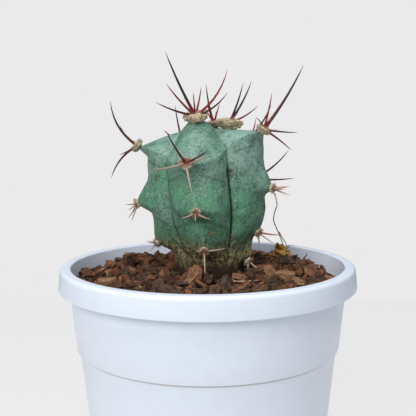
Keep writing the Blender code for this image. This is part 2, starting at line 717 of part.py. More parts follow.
def main():
    remove_everything()
    cactus = new_collection("potted_round_cactus")
    cutters = new_collection("cutters")
    materials = {
        "pot": new_material("white_plastic", (0.78, 0.83, 0.92), 0.42),
        "mix": new_material("potting_mix", (0.10, 0.045, 0.028), 0.95),
        "stem": new_material("cactus_skin", (0.115, 0.270, 0.180), 0.55),
        "wool": new_material("areole_wool", (0.56, 0.47, 0.33), 0.95),
        "young": new_material("young_spines", (0.055, 0.020, 0.016), 0.45),
        "old": new_material("old_spines", (0.45, 0.34, 0.25), 0.60),
        "bark": new_material("bark", (0.22, 0.11, 0.065), 0.90),
        "straw": new_material("dry_straw", (0.50, 0.34, 0.10), 0.85),
    }
    make_pot(cactus, cutters, materials["pot"])
    make_mix(cactus, cutters, materials["mix"])
    stem = make_stem(cactus, materials["stem"])
    make_areoles(stem, cactus, materials)
    for number, (heading, share, size, turn, tilt) in enumerate(CHIPS, start=1):
        make_chip(number, heading, share, size, turn, tilt, cactus, materials["bark"])
    flower_place = on_mix(*DRY_FLOWER_AT, DRY_FLOWER_REACH)
    make_loose_cluster("dried_flower", flower_place, DRY_FLOWER_WISPS, DRY_FLOWER_SIZE, DRY_FLOWER_LIFT,
                       cactus, materials["straw"])
    fallen_place = on_mix(*FALLEN_SPINES_AT, FALLEN_SPINES_REACH)
    make_loose_cluster("fallen_spines", fallen_place, FALLEN_SPINES, (SPINE_ROOT, SPINE_ROOT, SPINE_ROOT),
                       FALLEN_SPINES_LIFT, cactus, materials["old"])
    for name, points in THREADS.items():
        route = [thread_place(*point) for point in points]
        make_wire(name, route, THREAD_RADIUS, cactus, materials["straw"])
    hook = [wall_place(*point) for point in HOOKED_SPINE]
    make_wire("hooked_spine", hook, HOOK_RADIUS, cactus, materials["young"])


if __name__ == "__main__":
    main()
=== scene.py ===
"""Potted round cactus: a young five-ribbed cactus in bark mix, in a plain white nursery pot.

Lengths are metres and +Z is up. A heading is a compass angle seen from above: 0 degrees points along
-Y, the front, and 90 degrees points along +X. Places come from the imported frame, or count up from the mix.
"""

import math
import random
from functools import partial

import bmesh
import bpy
import numpy as np
from bpy.props import FloatProperty, FloatVectorProperty, IntProperty, PointerProperty
from mathutils import Matrix, Vector, noise


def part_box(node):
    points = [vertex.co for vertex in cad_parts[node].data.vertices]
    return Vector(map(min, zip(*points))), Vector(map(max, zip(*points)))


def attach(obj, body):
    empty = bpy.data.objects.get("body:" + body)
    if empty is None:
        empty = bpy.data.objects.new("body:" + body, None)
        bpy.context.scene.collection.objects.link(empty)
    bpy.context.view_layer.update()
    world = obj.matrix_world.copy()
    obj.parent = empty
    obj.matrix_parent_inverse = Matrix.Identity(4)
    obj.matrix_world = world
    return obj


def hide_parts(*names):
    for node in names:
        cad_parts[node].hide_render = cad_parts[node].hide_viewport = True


bl_info = {
    "name": "Potted Round Cactus",
    "version": (1, 0, 0),
    "blender": (4, 5, 0),
    "location": "3D View > Sidebar > Cactus",
    "description": "Builds the pot, the bark mix, the ribbed stem, its wool and spines, and the studio",
    "category": "Add Mesh",
}

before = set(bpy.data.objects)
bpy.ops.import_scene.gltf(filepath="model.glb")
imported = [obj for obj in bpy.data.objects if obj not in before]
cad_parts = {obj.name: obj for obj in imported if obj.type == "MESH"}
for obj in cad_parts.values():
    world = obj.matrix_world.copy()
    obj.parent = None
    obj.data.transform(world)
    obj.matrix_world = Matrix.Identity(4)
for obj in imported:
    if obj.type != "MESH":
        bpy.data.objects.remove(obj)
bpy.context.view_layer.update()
BODY = "root"
UP = Vector((0.0, 0.0, 1.0))
SEED = 7
MM = 0.001

# Pot, from the outside in
POT_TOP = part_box("pot")[1].z
RIM_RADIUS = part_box("pot")[1].x
RIM_DEPTH = 0.0115
RIM_SKIN = 0.0018
RIM_DRAFT = 0.0008
RIM_ROUND = 0.0022
MOUTH_RADIUS = 0.0752
MOUTH_ROUND = 0.0007
WALL = 0.0021
TAPER = 0.103
LEDGE_DROP = 0.0325
LEDGE_IN = 0.0015
LEDGE_HEIGHT = 0.0009
LEDGE_STEPS = 8
LEDGE_SHADE_BAND = (0.0009, 0.0004)  # distance from the ledge where its painted shade begins and where it is darkest
FOOT_WIDTH = 0.0045
FLOOR_LIFT = 0.0030
FLOOR_THICKNESS = 0.0022
DRAIN_COUNT = 6
DRAIN_RADIUS = 0.0045
DRAIN_CIRCLE = 0.040
DRAIN_SIDES = 32
POT_SIDES = 192
SHARP_ANGLE = 40.0           # edges that turn further than this stay crisp, in degrees

# Potting mix
MIX_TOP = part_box("potting_mix")[1].z
MIX_EDGE_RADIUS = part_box("potting_mix")[1].x
MOUND_RISE = 0.0040
MOUND_LUMP = 0.0012
LUMP_SIZE = 7.0              # mm
MIX_RINGS = 26
MIX_GAP = 0.0003             # between the mix and the pot

# Bark
HEAP_CELL = 0.0012           # of the grid that the flakes settle on
HEAP_PIECES = 4              # the flakes are joined into this many pieces
HEAP_LIMIT = 0.0062          # highest that a flake may lie above the mix
FLAKE_LEAN = 27.0            # spread of the flakes' lean, in degrees
WALL_CLEARANCE = 0.0018
CHIP_NODES = sorted(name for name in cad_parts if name.startswith("bark_chip_"))
CHIP_TINTS = (0.97, 0.95, 0.75, 0.45, 0.60, 0.75, 0.35, 0.80)
CHIP_CUTS = 3
SPLINTER_DEPTH = 0.00045     # how far a chip's faces wander
SPLINTER_SIZES = (6.0, 1.2, 10.0 / 9.0)   # mm along, across and through the chip

# Stem
STEM_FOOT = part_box("stem")[0].z
STEM_X = 0.0015
STEM_LEAN = -0.0020
STEM_TALL = 0.0820
PLUG_RADIUS = 0.0200
NECK_RISE = 0.0095
RIB_SWELL = 0.0300
RIDGE_RADIUS = 0.0322
GROOVE_RADIUS = 0.0268
TUBERCLE = 0.0060
BULGE_ABOVE = 0.016
BULGE_BELOW = 0.006
RIB_FULLNESS = 2.6
CROWN_FULLNESS = 3.4
TUBERCLE_SPREAD = 2.2
CROWN_ARCH = 1.25
CROWN_GROOVE_DROP = 0.0030
HALF_RIB_STEPS = 22
PLUG_ROWS = 8
SIDE_ROWS = 136
CROWN_ROWS = 46


class Rib:
    """One rib: the headings of its ridge at the crown and at the foot, its peak, and its side areoles.

    Each areole is a height above the mix and how far the ridge bulges there, as a share of a full tubercle.
    wax is how much of its pale bloom the rib has kept; it is partly painted light, highest on the right rib,
    which looks lit from the right.
    """

    def __init__(self, heading_top, heading_foot, peak, areoles, wax):
        self.heading_top = heading_top
        self.heading_foot = heading_foot
        self.peak_radius = peak[0]
        self.peak_height = MIX_TOP + peak[1]
        self.areoles = [(MIX_TOP + height, bulge) for height, bulge in areoles]
        self.wax = wax

    def shoulder(self):
        return self.areoles[0][0]


# The last number of each rib, its wax, is partly painted light: the right rib has the most.
RIBS = [
    Rib(-17.0, -6.0, (0.0165, 0.0850), [(0.0635, 1.0), (0.0390, 1.0), (0.0180, 1.0)], 0.56),
    Rib(63.0, 63.0, (0.0140, 0.0805), [(0.0790, 0.2), (0.0495, 1.0), (0.0255, 0.4), (0.0095, 1.0)], 1.0),
    Rib(135.0, 133.0, (0.0130, 0.0810), [(0.0755, 0.8), (0.0515, 1.0), (0.0265, 0.9), (0.0105, 1.0)], 0.8),
    Rib(202.0, 200.0, (0.0130, 0.0795), [(0.0725, 0.8), (0.0485, 1.0), (0.0235, 1.0)], 0.7),
    Rib(273.0, 275.0, (0.0130, 0.0795), [(0.0710, 0.75), (0.0405, 1.15), (0.0185, 1.1)], 0.74),
]
CLOSED_CREASE = {RIBS[0], RIBS[4]}   # the front and left ribs have grown together over the crown
PALE_CREASE = {RIBS[0], RIBS[1]}     # open to the crown, but clean and shallow there
CREASE_CLOSES_AT = 0.054             # above the mix
PALE_LOSS = 0.45                     # share of the crease that is lost there
# Each fold is bumped in and also darkened with painted shade.
FOLD_DROP = 0.0045                   # a faint fold starts this far below each areole,
FOLD_SLOPE = 0.0070                  # falls by this much on its way to the groove
FOLD_WIDTH = 0.0006
# Healed marks on the skin: place, radius and colour.
MARKS = [((0.0105, -0.0240, 0.1978), 0.0022, "#4A3A26"), ((0.0026, -0.0280, 0.1660), 0.0011, "#A87A38")]
BLOOM_FADES_BELOW = 0.042                   # the pale bloom, partly painted light, has gone below this height above the mix
BLOOM_WHOLE_ABOVE = 0.074                   # and is whole above this one
CORK_TOP = 0.0225                    # the cork fades in below this height above the mix,
CORK_WHOLE = 0.0125                  # covers the skin below this one,
FOOT_WHOLE = 0.0030                  # and is stained by the mix below this one
CORK_RAGGED = 0.007                  # how far its edges wander

# Spines of each areole: length, heading, rise above level, sag as a share of the length, and how red;
# below zero is how pale and dry.
SPINES = {
    "front_1": [(0.0360, -60, 62, 0.02, 0.0), (0.0240, -52, 41, 0.03, 0.7), (0.0220, -72, 18, 0.04, 0.2),
                (0.0285, 72, 53, 0.10, 0.8), (0.0215, 64, 32, 0.09, 0.1), (0.0120, -60, 84, 0.00, 0.6),
                (0.0150, 80, 78, 0.02, 0.7)],
    "front_2": [(0.0210, -42, 50, 0.03, 0.1), (0.0175, -66, -8, 0.04, -0.7), (0.0155, 56, 16, 0.04, -0.7),
                (0.0165, 48, 24, 0.02, 0.2), (0.0170, 20, -57, 0.03, -0.8)],
    "front_3": [(0.0080, -66, -16, 0.05, 0.2), (0.0090, 60, -17, 0.05, 0.2), (0.0060, 0, -40, 0.00, 0.3),
                (0.0050, -8, 40, 0.00, 0.3)],
    "front_4": [(0.0115, 72, 10, 0.03, 0.1), (0.0130, 4, -56, 0.02, 0.1), (0.0060, -50, 6, 0.00, 0.2)],
    "right_1": [(0.0225, 118, 68, 0.03, 0.0), (0.0265, 122, 57, 0.04, 0.0), (0.0190, 112, 28, 0.06, 0.5),
                (0.0070, 60, 45, 0.00, 0.8)],
    "right_2": [(0.0385, 90, 58, 0.03, 0.1), (0.0190, 60, 76, 0.02, 0.7), (0.0075, -70, 53, -0.10, 0.3),
                (0.0175, 80, -6, 0.02, 0.2), (0.0180, 84, -38, -0.03, 0.4)],
    "right_3": [(0.0095, 60, 7, 0.03, 0.4), (0.0075, 50, -3, 0.03, 0.3), (0.0095, 76, -21, 0.03, 0.2),
                (0.0070, 96, 6, 0.00, 0.3)],
    "right_4": [(0.0125, 74, -5, 0.03, 0.8), (0.0110, 60, -30, 0.03, 0.1), (0.0110, 14, -74, 0.02, 0.3)],
    "right_5": [(0.0110, 56, -30, 0.03, 0.1), (0.0090, -6, -34, 0.04, 0.2)],
    "left_1": [(0.0275, -78, 60, 0.12, 0.1), (0.0145, -108, 48, 0.08, 0.0), (0.0115, -54, -24, 0.03, 0.4),
               (0.0225, -96, -50, -0.10, 0.1)],
    "left_2": [(0.0065, -66, -3, 0.05, 0.3), (0.0065, -62, -32, 0.04, 0.2), (0.0100, -112, -56, 0.03, 0.2),
               (0.0105, -40, -64, 0.02, 0.1)],
    "left_3": [(0.0060, -98, 8, 0.03, 0.2), (0.0050, -60, 4, 0.02, 0.1), (0.0060, -80, -50, 0.00, 0.2)],
    "back_right_1": [(0.0240, 128, 50, 0.05, 0.2), (0.0160, 165, 40, 0.04, 0.5),
                     (0.0150, 100, 14, 0.04, 0.3), (0.0140, 142, -24, 0.03, 0.3)],
    "back_right_2": [(0.0270, 104, 38, 0.06, 0.2), (0.0240, 98, 0, 0.03, 0.3),
                     (0.0140, 160, 4, 0.03, 0.5)],
    "back_right_3": [(0.0090, 112, 6, 0.03, 0.3), (0.0080, 150, -6, 0.03, 0.2),
                     (0.0085, 130, -50, 0.00, 0.3)],
    "back_right_4": [(0.0075, 118, 4, 0.03, 0.2), (0.0070, 150, -10, 0.03, 0.2)],
    "back_left_1": [(0.0260, -160, 58, 0.05, 0.1), (0.0160, -186, 34, 0.04, 0.5),
                    (0.0170, -130, 24, 0.04, 0.4), (0.0140, -156, -26, 0.03, 0.3)],
    "back_left_2": [(0.0100, -132, 10, 0.03, 0.3), (0.0095, -186, 4, 0.03, 0.2),
                    (0.0090, -158, -42, 0.02, 0.3)],
    "back_left_3": [(0.0080, -134, 0, 0.03, 0.2), (0.0075, -182, -8, 0.03, 0.2),
                    (0.0075, -160, -50, 0.00, 0.2)],
    "apex": [(0.0215, -90, 79, 0.03, 0.2), (0.0115, -95, 72, 0.02, 0.9), (0.0100, -70, 58, 0.00, 1.0),
             (0.0115, 80, 74, 0.00, 1.0), (0.0080, 160, 60, 0.00, 1.0)],
}
YOUNG_AREOLES = ("apex", "front_1", "front_2", "right_1", "right_2", "back_right_1", "back_right_2",
                 "back_left_1", "left_1")
NEWEST_AREOLES = ("apex", "front_1", "right_1", "right_2", "left_1", "back_right_1", "back_left_1")

WOOL_SINK = 0.0009           # how far the old wool has sunk into its pit
WOOL_SHRINK = 0.85           # and how much it has worn away round its edge
WOOL_BURY = 0.0012           # how far its underside reaches into the skin
WOOL_LUMP = 0.30             # unevenness, as a share of its size
WOOL_DIMPLE = 0.35           # depth of the hollow round the spines, as a share of its thickness
FIBRE_STRAY = 0.75           # how far a fibre's heading wanders

SPINE_SECTIONS = 7
SPINE_SIDES = 8
SPINE_THICKENING = 0.014     # root radius gained for each metre of length
SPINE_TIP = 0.10             # radius at the tip as a share of the root's
SPINE_TAPER = 0.62           # below 1 keeps the spine stout until near its tip
SPINE_BULB = 1.3             # swelling of the root
LEAST_RISE = -0.12           # sine of the flattest angle between a spine and its wool

# Dry remains. Each route runs through (heading, distance, height) points: outward from the ribs for the
# threads and from the wall for the hooked spine, and up from the mix.
THREADS = {
    "dry_thread_1": [(66, 0.0010, 0.0465), (68, 0.0019, 0.0405), (76, -0.0006, 0.0355), (87, -0.0014, 0.0300),
                     (97, 0.0016, 0.0237), (108, 0.0070, 0.0160), (114, 0.0106, 0.0115)],
    "dry_thread_2": [(84, 0.0012, 0.0245), (89, 0.0033, 0.0205), (98, 0.0067, 0.0160)],
}
THREAD_ROOT = 0.00040
THREAD_LOSS = 0.00016        # radius lost from root to tip
HOOKED_SPINE = [(125, -0.0056, 0.0020), (123, -0.0046, 0.0045), (120, -0.0045, 0.0080), (118, -0.0066, 0.0098)]
HOOKED_ROOT = 0.00055
ROUTE_STEPS = 5
FALLEN_SPINES = [(0.0135, 88, 3, 0.02, 0.1), (0.0060, -60, 24, 0.02, 0.2), (0.0060, -130, 10, 0.02, 0.1),
                 (0.0050, 10, 40, 0.0, 0.2), (0.0055, 40, 12, 0.02, 0.3)]
FLOWER_LIFT = 0.0045
FLOWER_HALF_SIZES = (0.0050, 0.0040, 0.0040)
PETAL_COUNT = 22
PETAL_RADII = (0.0008, 0.0015, 0.0019, 0.0020, 0.0018, 0.0013, 0.0006)
PETAL_FLATNESS = 0.82
ROOTLET_COUNT = 14
ROOTLET_RADII = (0.00022, 0.00022, 0.0002, 0.00018, 0.00016, 0.00013, 0.0001)

# Stage
CAMERA_PLACE = (0.00042, -0.3791, 0.2176)
CAMERA_PITCH = 6.31          # degrees down from level
CAMERA_ROLL = -0.41
CAMERA_LENS = 59.5           # mm, on the default 36 mm sensor
FLOOR_SIZE = 1.0
AMBIENT = 0.27
FLOOR_GLOW = 0.865
KEY_POWER = 8.8
KEY_SIZE = 0.6
KEY_PLACE = (-0.52, -1.05, 0.80)
TOP_POWER = 7.9
TOP_SIZE = 0.8
TOP_PLACE = (0.00, -0.30, 1.15)
FILL_TINT = "#F4F8FF"
KEY_TINT = "#FFFDF8"
TOP_TINT = "#F6F9FF"
LIGHTS_AIM = (0.0, 0.0, 0.15)


def linear(code):
    """An sRGB hex colour as linear red, green, blue and alpha."""
    channels = [int(code[start:start + 2], 16) / 255.0 for start in (1, 3, 5)]
    channels = [value / 12.92 if value <= 0.04045 else ((value + 0.055) / 1.055) ** 2.4 for value in channels]
    return (*channels, 1.0)


def colour(name, description, code):
    """A colour that a user may change; the default is an sRGB hex code."""
    return FloatVectorProperty(name=name, description=description, subtype="COLOR", size=4, min=0.0, max=1.0,
                               default=linear(code))


def length(name, description, default):
    """A length that a user may change, in metres."""
    return FloatProperty(name=name, description=description, default=default, min=0.0, unit="LENGTH")


class CactusSizes(bpy.types.PropertyGroup):
    """Sizes that change the look without moving a piece."""
    crease_depth: length("Crease depth", "How deep the fold between two ribs is cut", 0.0010)
    crease_width: length("Crease width", "Half width of the fold between two ribs", 0.0013)
    skin_lump: length("Skin unevenness", "Height of the soft lumps in the skin", 0.0005)
    spine_root: length("Spine root", "Radius at the root of the thinnest spine", 0.00042)
    fibre_length: length("Wool fibre length", "Typical length of a wool fibre", 0.0021)
    fibre_width: length("Wool fibre width", "Width of a tuft of wool fibre", 0.00022)
    fibre_count: IntProperty(name="Wool fibres", description="Fibres on each areole", default=200, min=0)
    flake_length: length("Bark flake length", "Typical length of a loose bark flake", 0.0062)
    flake_count: IntProperty(name="Bark flakes", description="Loose flakes on the mix", default=1250, min=0)


class CactusColours(bpy.types.PropertyGroup):
    """Colours of the finishes."""
    plastic: colour("Pot plastic", "White polypropylene", "#E9F1FF")
    # Painted shade: this colour darkens a thin band under the pot's ledge.
    ledge_shade: colour("Ledge dust", "Dust caught under the pot's ledge", "#A8978C")
    # Waxy bloom is partly painted light: laid paler up high and on the right rib.
    skin_bloom: colour("Waxy bloom", "Skin where the wax is thick", "#90B4A6")
    skin: colour("Skin", "The stem's main green", "#3F7156")
    # Partly painted light: a lighter green laid low on the stem, where the bloom is thin.
    skin_fresh_and_lit: colour("Fresh skin", "Clean bare skin low on the stem", "#62A67A")
    # Deep skin also serves as painted shade in the folds and wrinkles.
    skin_deep: colour("Deep skin", "Skin where the wax has worn off", "#1F4A30")
    # Painted shade: this near-black green darkens the fold between two ribs.
    crease: colour("Crease", "The fold between two ribs", "#0E2A1D")
    cork: colour("Cork", "Old corky skin above the mix", "#A49E70")
    cork_foot: colour("Cork foot", "Soil-stained skin at the mix", "#38251B")
    wool_new: colour("New wool", "Wool on the growing areoles", "#D6C7A2")
    wool_old: colour("Old wool", "Weathered wool lower down", "#F4E6CE")
    wool_shade: colour("Wool shade", "Between the tufts", "#8B7454")
    wool_core: colour("Wool core", "Wool round the roots of old spines", "#A4602F")
    spine_dark: colour("Dark spine", "Young spine, in the middle", "#1E0F10")
    spine_red: colour("Red spine", "Young spine, where it is still translucent", "#A8332A")
    spine_grey: colour("Weathered tip", "Grey tips of the young spines", "#7C6E68")
    spine_old: colour("Old spine", "Dry pale spine", "#C6B09A")
    bark: colour("Bark", "Fresh pine bark", "#98522F")
    bark_dark: colour("Dark bark", "Damp bark", "#2A1209")
    bark_tan: colour("Tan bark", "Dry inner bark", "#AC8A64")
    soil: colour("Fine mix", "Damp fines between the flakes", "#1A0E09")
    petal: colour("Dried petal", "Dried flower", "#CF9F4C")
    straw: colour("Straw", "Dry threads and rootlets", "#FADFC8")
    floor: colour("Floor", "Plain studio floor", "#6A6A6A")
    backdrop: colour("Backdrop", "Even studio background", "#EAEAEA")


# Shared geometry

def compass(heading, rise=0.0):
    """Unit vector with this heading and rise, both in degrees."""
    turn = math.radians(heading)
    lift = math.radians(rise)
    return Vector((math.sin(turn) * math.cos(lift), -math.cos(turn) * math.cos(lift), math.sin(lift)))


def smooth_step(value):
    """0 below 0, 1 above 1, and an even curve between."""
    value = min(max(value, 0.0), 1.0)
    return value * value * (3.0 - 2.0 * value)


def new_object(name, bm, material):
    """Turn a bmesh into an object of the scene."""
    mesh = bpy.data.meshes.new(name)
    bm.to_mesh(mesh)
    bm.free()
    mesh.materials.append(material)
    item = bpy.data.objects.new(name, mesh)
    bpy.context.scene.collection.objects.link(item)
    return item


def finish_piece(name, bm, material, nodes=(), smooth=True, recalc=True):
    """Turn a bmesh into a finished piece that stands for the named CAD nodes.

    recalc turns its faces outward. It guesses wrong where thin solids lie packed together, so those are turned
    one by one before they are joined.
    """
    if recalc:
        bmesh.ops.recalc_face_normals(bm, faces=bm.faces)
    piece = new_object(name, bm, material)
    if smooth:
        piece.data.shade_smooth()
    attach(piece, BODY)
    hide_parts(*nodes)
    return piece


def set_value(mesh, name, values):
    """Store one number for each vertex under a name that the materials read."""
    attribute = mesh.attributes.new(name, "FLOAT", "POINT")
    attribute.data.foreach_set("value", np.asarray(values, np.float32))


def arc(centre, radius, start, end, steps):
    """Points (radius, height) on an arc in a turned profile, angles in degrees from outward level."""
    points = []
    for step in range(steps + 1):
        angle = math.radians(start + (end - start) * step / steps)
        points.append((centre[0] + radius * math.cos(angle), centre[1] + radius * math.sin(angle)))
    return points


def turned(profile, sides):
    """Spin a profile that starts and ends on the axis into a closed solid."""
    bm = bmesh.new()
    verts = [bm.verts.new((radius, 0.0, height)) for radius, height in profile]
    edges = [bm.edges.new(pair) for pair in zip(verts, verts[1:])]
    bmesh.ops.spin(bm, geom=verts + edges, cent=(0.0, 0.0, 0.0), axis=(0.0, 0.0, 1.0), dvec=(0.0, 0.0, 0.0),
                   angle=math.tau, steps=sides, use_merge=True, use_normal_flip=False, use_duplicate=False)
    bmesh.ops.remove_doubles(bm, verts=bm.verts, dist=0.00001)
    bmesh.ops.recalc_face_normals(bm, faces=bm.faces)
    return bm


def grow(bm, path, radii, sides):
    """Draw a closed tapering rod along a path and return its rings of vertices, root first."""
    aim = path[1] - path[0]
    turn = aim.to_track_quat("Z", "Y").to_matrix().to_4x4()
    middle = Matrix.Translation((path[0] + path[1]) / 2.0)
    made = bmesh.ops.create_cone(bm, cap_ends=True, segments=sides, radius1=radii[0], radius2=radii[1],
                                 depth=aim.length, matrix=middle @ turn)["verts"]
    made.sort(key=lambda vertex: (vertex.co - path[0]).dot(aim))
    rings = [made[:sides], made[sides:]]
    far = set(rings[1])
    face = next(face for face in rings[1][0].link_faces if set(face.verts) == far)
    for index in range(2, len(path)):
        face = bmesh.ops.extrude_discrete_faces(bm, faces=[face])["faces"][0]
        ahead = path[min(index + 1, len(path) - 1)] - path[index - 1]
        bend = aim.rotation_difference(ahead).to_matrix()
        scale = radii[index] / radii[index - 1]
        for vertex in face.verts:
            vertex.co = path[index] + bend @ ((vertex.co - path[index - 1]) * scale)
        aim = ahead
        rings.append(list(face.verts))
    return rings


def sagging_path(root, direction, reach, sag, sections):
    """A curve from a root to a tip whose belly hangs by a share of its reach."""
    hang = (direction * direction.z - UP).normalized()
    path = []
    for section in range(sections + 1):
        share = section / sections
        path.append(root + direction * (reach * share) + hang * (4.0 * sag * reach * share * (1.0 - share)))
    return path


# Shared shading

def fill(sockets, values):
    """Give each input socket its value, or link it to the output socket that stands in its place."""
    for socket, value in zip(sockets, values):
        if isinstance(value, bpy.types.NodeSocket):
            socket.id_data.links.new(value, socket)
        elif value is not None:
            socket.default_value = value


def add_node(tree, kind, *values, out=None, **settings):
    """Add a shader node; values go to its live inputs in order. Returns the named or the first live output."""
    node = tree.nodes.new("ShaderNode" + kind)
    for name, value in settings.items():
        setattr(node, name, value)
    fill([socket for socket in node.inputs if socket.enabled], values)
    if out:
        return node.outputs[out]
    return next((socket for socket in node.outputs if socket.enabled), None)


def set_shader(material, **values):
    """Set or link the Principled shader's inputs; an underscore stands for a space."""
    inputs = material.node_tree.nodes["Principled BSDF"].inputs
    fill([inputs[name.replace("_", " ")] for name in values], values.values())


def new_material(name, **values):
    """A material with a Principled shader, and the function that adds its nodes."""
    material = bpy.data.materials.new(name)
    material.use_nodes = True
    set_shader(material, **values)
    return material, partial(add_node, material.node_tree)


def scale_for(size_mm):
    """Texture scale on Object coordinates for features of this many millimetres."""
    return 1.0 / (size_mm * MM)


def speckle(add, coords, size_mm, low, high, detail=3.0, roughness=0.5):
    """Specks of a real size, their contrast stretched between low and high."""
    return add("MapRange", add("TexNoise", coords, scale_for(size_mm), detail, roughness), low, high)


def lay_over(add, body, *layers):
    """Lay colours over a body in turn; each layer is its mask, its strength and its colour."""
    for mask, strength, tint in layers:
        cover = add("Math", mask, strength, operation="MULTIPLY")
        body = add("Mix", cover, body, tint, data_type="RGBA")
    return body


# Pot

def inner_radius(height):
    """Radius of the pot's inner wall at a height."""
    below_ledge = smooth_step((ledge_height() - height) / LEDGE_HEIGHT)
    return MOUTH_RADIUS - TAPER * (POT_TOP - height) - LEDGE_IN * below_ledge


def ledge_height():
    """Height of the stacking ledge's top edge."""
    return POT_TOP - RIM_DEPTH - LEDGE_DROP


def wall_heights():
    """Heights that follow the stacking ledge, from the bottom up."""
    ledge = ledge_height()
    heights = [ledge - LEDGE_HEIGHT * (1.0 - step / LEDGE_STEPS) for step in range(LEDGE_STEPS + 1)]
    return [0.5 * ledge] + heights + [0.5 * (ledge + POT_TOP)]


def plastic_material(colours):
    """Polypropylene, injection moulded: satin white, a faint orange peel, and a band of painted shade under
    the ledge.
    """
    material, add = new_material("white_polypropylene", IOR=1.49)
    coords = add("TexCoord", out="Object")
    dust = speckle(add, coords, 9.0, 0.45, 0.85, detail=5.0)
    dusty = [channel * 0.965 for channel in colours.plastic[:3]] + [1.0]
    height = add("SeparateXYZ", coords, out="Z")
    above = add("Math", height, ledge_height() - LEDGE_HEIGHT, operation="SUBTRACT")
    # A band of painted shade at the foot of the ledge's step, darkest next to it.
    ledge_shade_mask = add("MapRange", add("Math", above, operation="ABSOLUTE"), *LEDGE_SHADE_BAND)
    body = lay_over(add, colours.plastic, (dust, 1.0, dusty), (ledge_shade_mask, 0.55, colours.ledge_shade))
    set_shader(material, Base_Color=body,
               Roughness=add("MapRange", dust, 0.0, 1.0, 0.33, 0.46),
               Normal=add("Bump", 1.0, 0.012 * MM, None, speckle(add, coords, 1.4, 0.0, 1.0, detail=2.0)))
    return material


def build_pot(colours):
    """Turn the pot's wall, rim and floor from one profile, then drill its drain holes."""
    floor_top = FLOOR_LIFT + FLOOR_THICKNESS
    rim_foot = POT_TOP - RIM_DEPTH
    rim_top_radius = RIM_RADIUS - RIM_DRAFT
    skirt_top = POT_TOP - RIM_SKIN
    lip = 0.4 * RIM_SKIN
    profile = [(0.0, floor_top), (inner_radius(floor_top) - RIM_SKIN, floor_top)]
    profile += arc((inner_radius(floor_top) - RIM_SKIN, floor_top + RIM_SKIN), RIM_SKIN, -90.0, 0.0, 4)[1:]
    profile += [(inner_radius(height), height) for height in wall_heights()]
    profile += arc((MOUTH_RADIUS + MOUTH_ROUND, POT_TOP - MOUTH_ROUND), MOUTH_ROUND, 180.0, 90.0, 5)
    profile += arc((rim_top_radius - RIM_ROUND, POT_TOP - RIM_ROUND), RIM_ROUND, 90.0, 0.0, 8)
    profile += arc((RIM_RADIUS - lip, rim_foot + lip), lip, 0.0, -90.0, 4)
    profile += arc((RIM_RADIUS - RIM_SKIN + lip, rim_foot + lip), lip, -90.0, -180.0, 4)
    profile += [(rim_top_radius - RIM_SKIN, skirt_top), (inner_radius(skirt_top) + WALL, skirt_top)]
    profile += [(inner_radius(height) + WALL, height) for height in reversed(wall_heights())]
    foot_radius = inner_radius(0.0) + WALL
    profile += arc((foot_radius - lip, lip), lip, 0.0, -90.0, 4)
    profile += [(foot_radius - FOOT_WIDTH, 0.0), (foot_radius - FOOT_WIDTH, FLOOR_LIFT), (0.0, FLOOR_LIFT)]
    pot = finish_piece("nursery_pot", turned(profile, POT_SIDES), plastic_material(colours), ["pot"])

    bm = bmesh.new()
    for index in range(DRAIN_COUNT):
        centre = compass(360.0 * (index + 0.5) / DRAIN_COUNT) * DRAIN_CIRCLE
        centre.z = FLOOR_LIFT + 0.5 * FLOOR_THICKNESS
        bmesh.ops.create_cone(bm, cap_ends=True, segments=DRAIN_SIDES, depth=3.0 * FLOOR_THICKNESS,
                              radius1=DRAIN_RADIUS, radius2=DRAIN_RADIUS, matrix=Matrix.Translation(centre))
    cutter = new_object("drain_cutter", bm, pot.data.materials[0])
    boolean = pot.modifiers.new("Drain holes", "BOOLEAN")
    boolean.operation = "DIFFERENCE"
    boolean.solver = "EXACT"
    boolean.object = cutter
    graph = bpy.context.evaluated_depsgraph_get()
    drained = bpy.data.meshes.new_from_object(pot.evaluated_get(graph))
    pot.modifiers.clear()
    pot.data = drained
    drained.shade_smooth()
    drained.set_sharp_from_angle(angle=math.radians(SHARP_ANGLE))
    bpy.data.objects.remove(cutter)


# Potting mix and bark

def mix_height(radius):
    """Height of the mounded mix at a distance from the pot's axis."""
    flat = PLUG_RADIUS + STEM_X
    share = smooth_step((radius - flat) / (MIX_EDGE_RADIUS - flat))
    return MIX_TOP - MOUND_RISE * share


def soil_material(colours):
    """Peat and coir fines: damp, crumbly, near black in the gaps between the flakes."""
    material, add = new_material("damp_coir_fines", Roughness=0.95)
    crumbs = speckle(add, add("TexCoord", out="Object"), 1.6, 0.30, 0.70, detail=6.0)
    set_shader(material, Base_Color=lay_over(add, colours.soil, (crumbs, 1.0, colours.bark_dark)),
               Normal=add("Bump", 1.0, 0.8 * MM, None, crumbs))
    return material


def build_mix(colours):
    """Mound the mix and give its top the lumps that the flakes lie on."""
    radii = [MIX_EDGE_RADIUS * ring / MIX_RINGS for ring in range(MIX_RINGS + 1)]
    profile = [(radius, mix_height(radius)) for radius in radii]
    profile += [(inner_radius(height) - MIX_GAP, height) for height in reversed(wall_heights()[:-1])]
    bottom = FLOOR_LIFT + FLOOR_THICKNESS + MIX_GAP
    profile += [(inner_radius(bottom) - RIM_SKIN, bottom), (0.0, bottom)]
    bm = turned(profile, POT_SIDES // 2)
    for vertex in bm.verts:
        radius = math.hypot(vertex.co.x, vertex.co.y)
        if vertex.co.z > MIX_TOP - 2.0 * MOUND_RISE and radius < MIX_EDGE_RADIUS - MIX_GAP:
            vertex.co.z += MOUND_LUMP * noise.fractal(vertex.co * scale_for(LUMP_SIZE), 1.0, 2.0, 3)
    finish_piece("coir_mound", bm, soil_material(colours), ["potting_mix"])


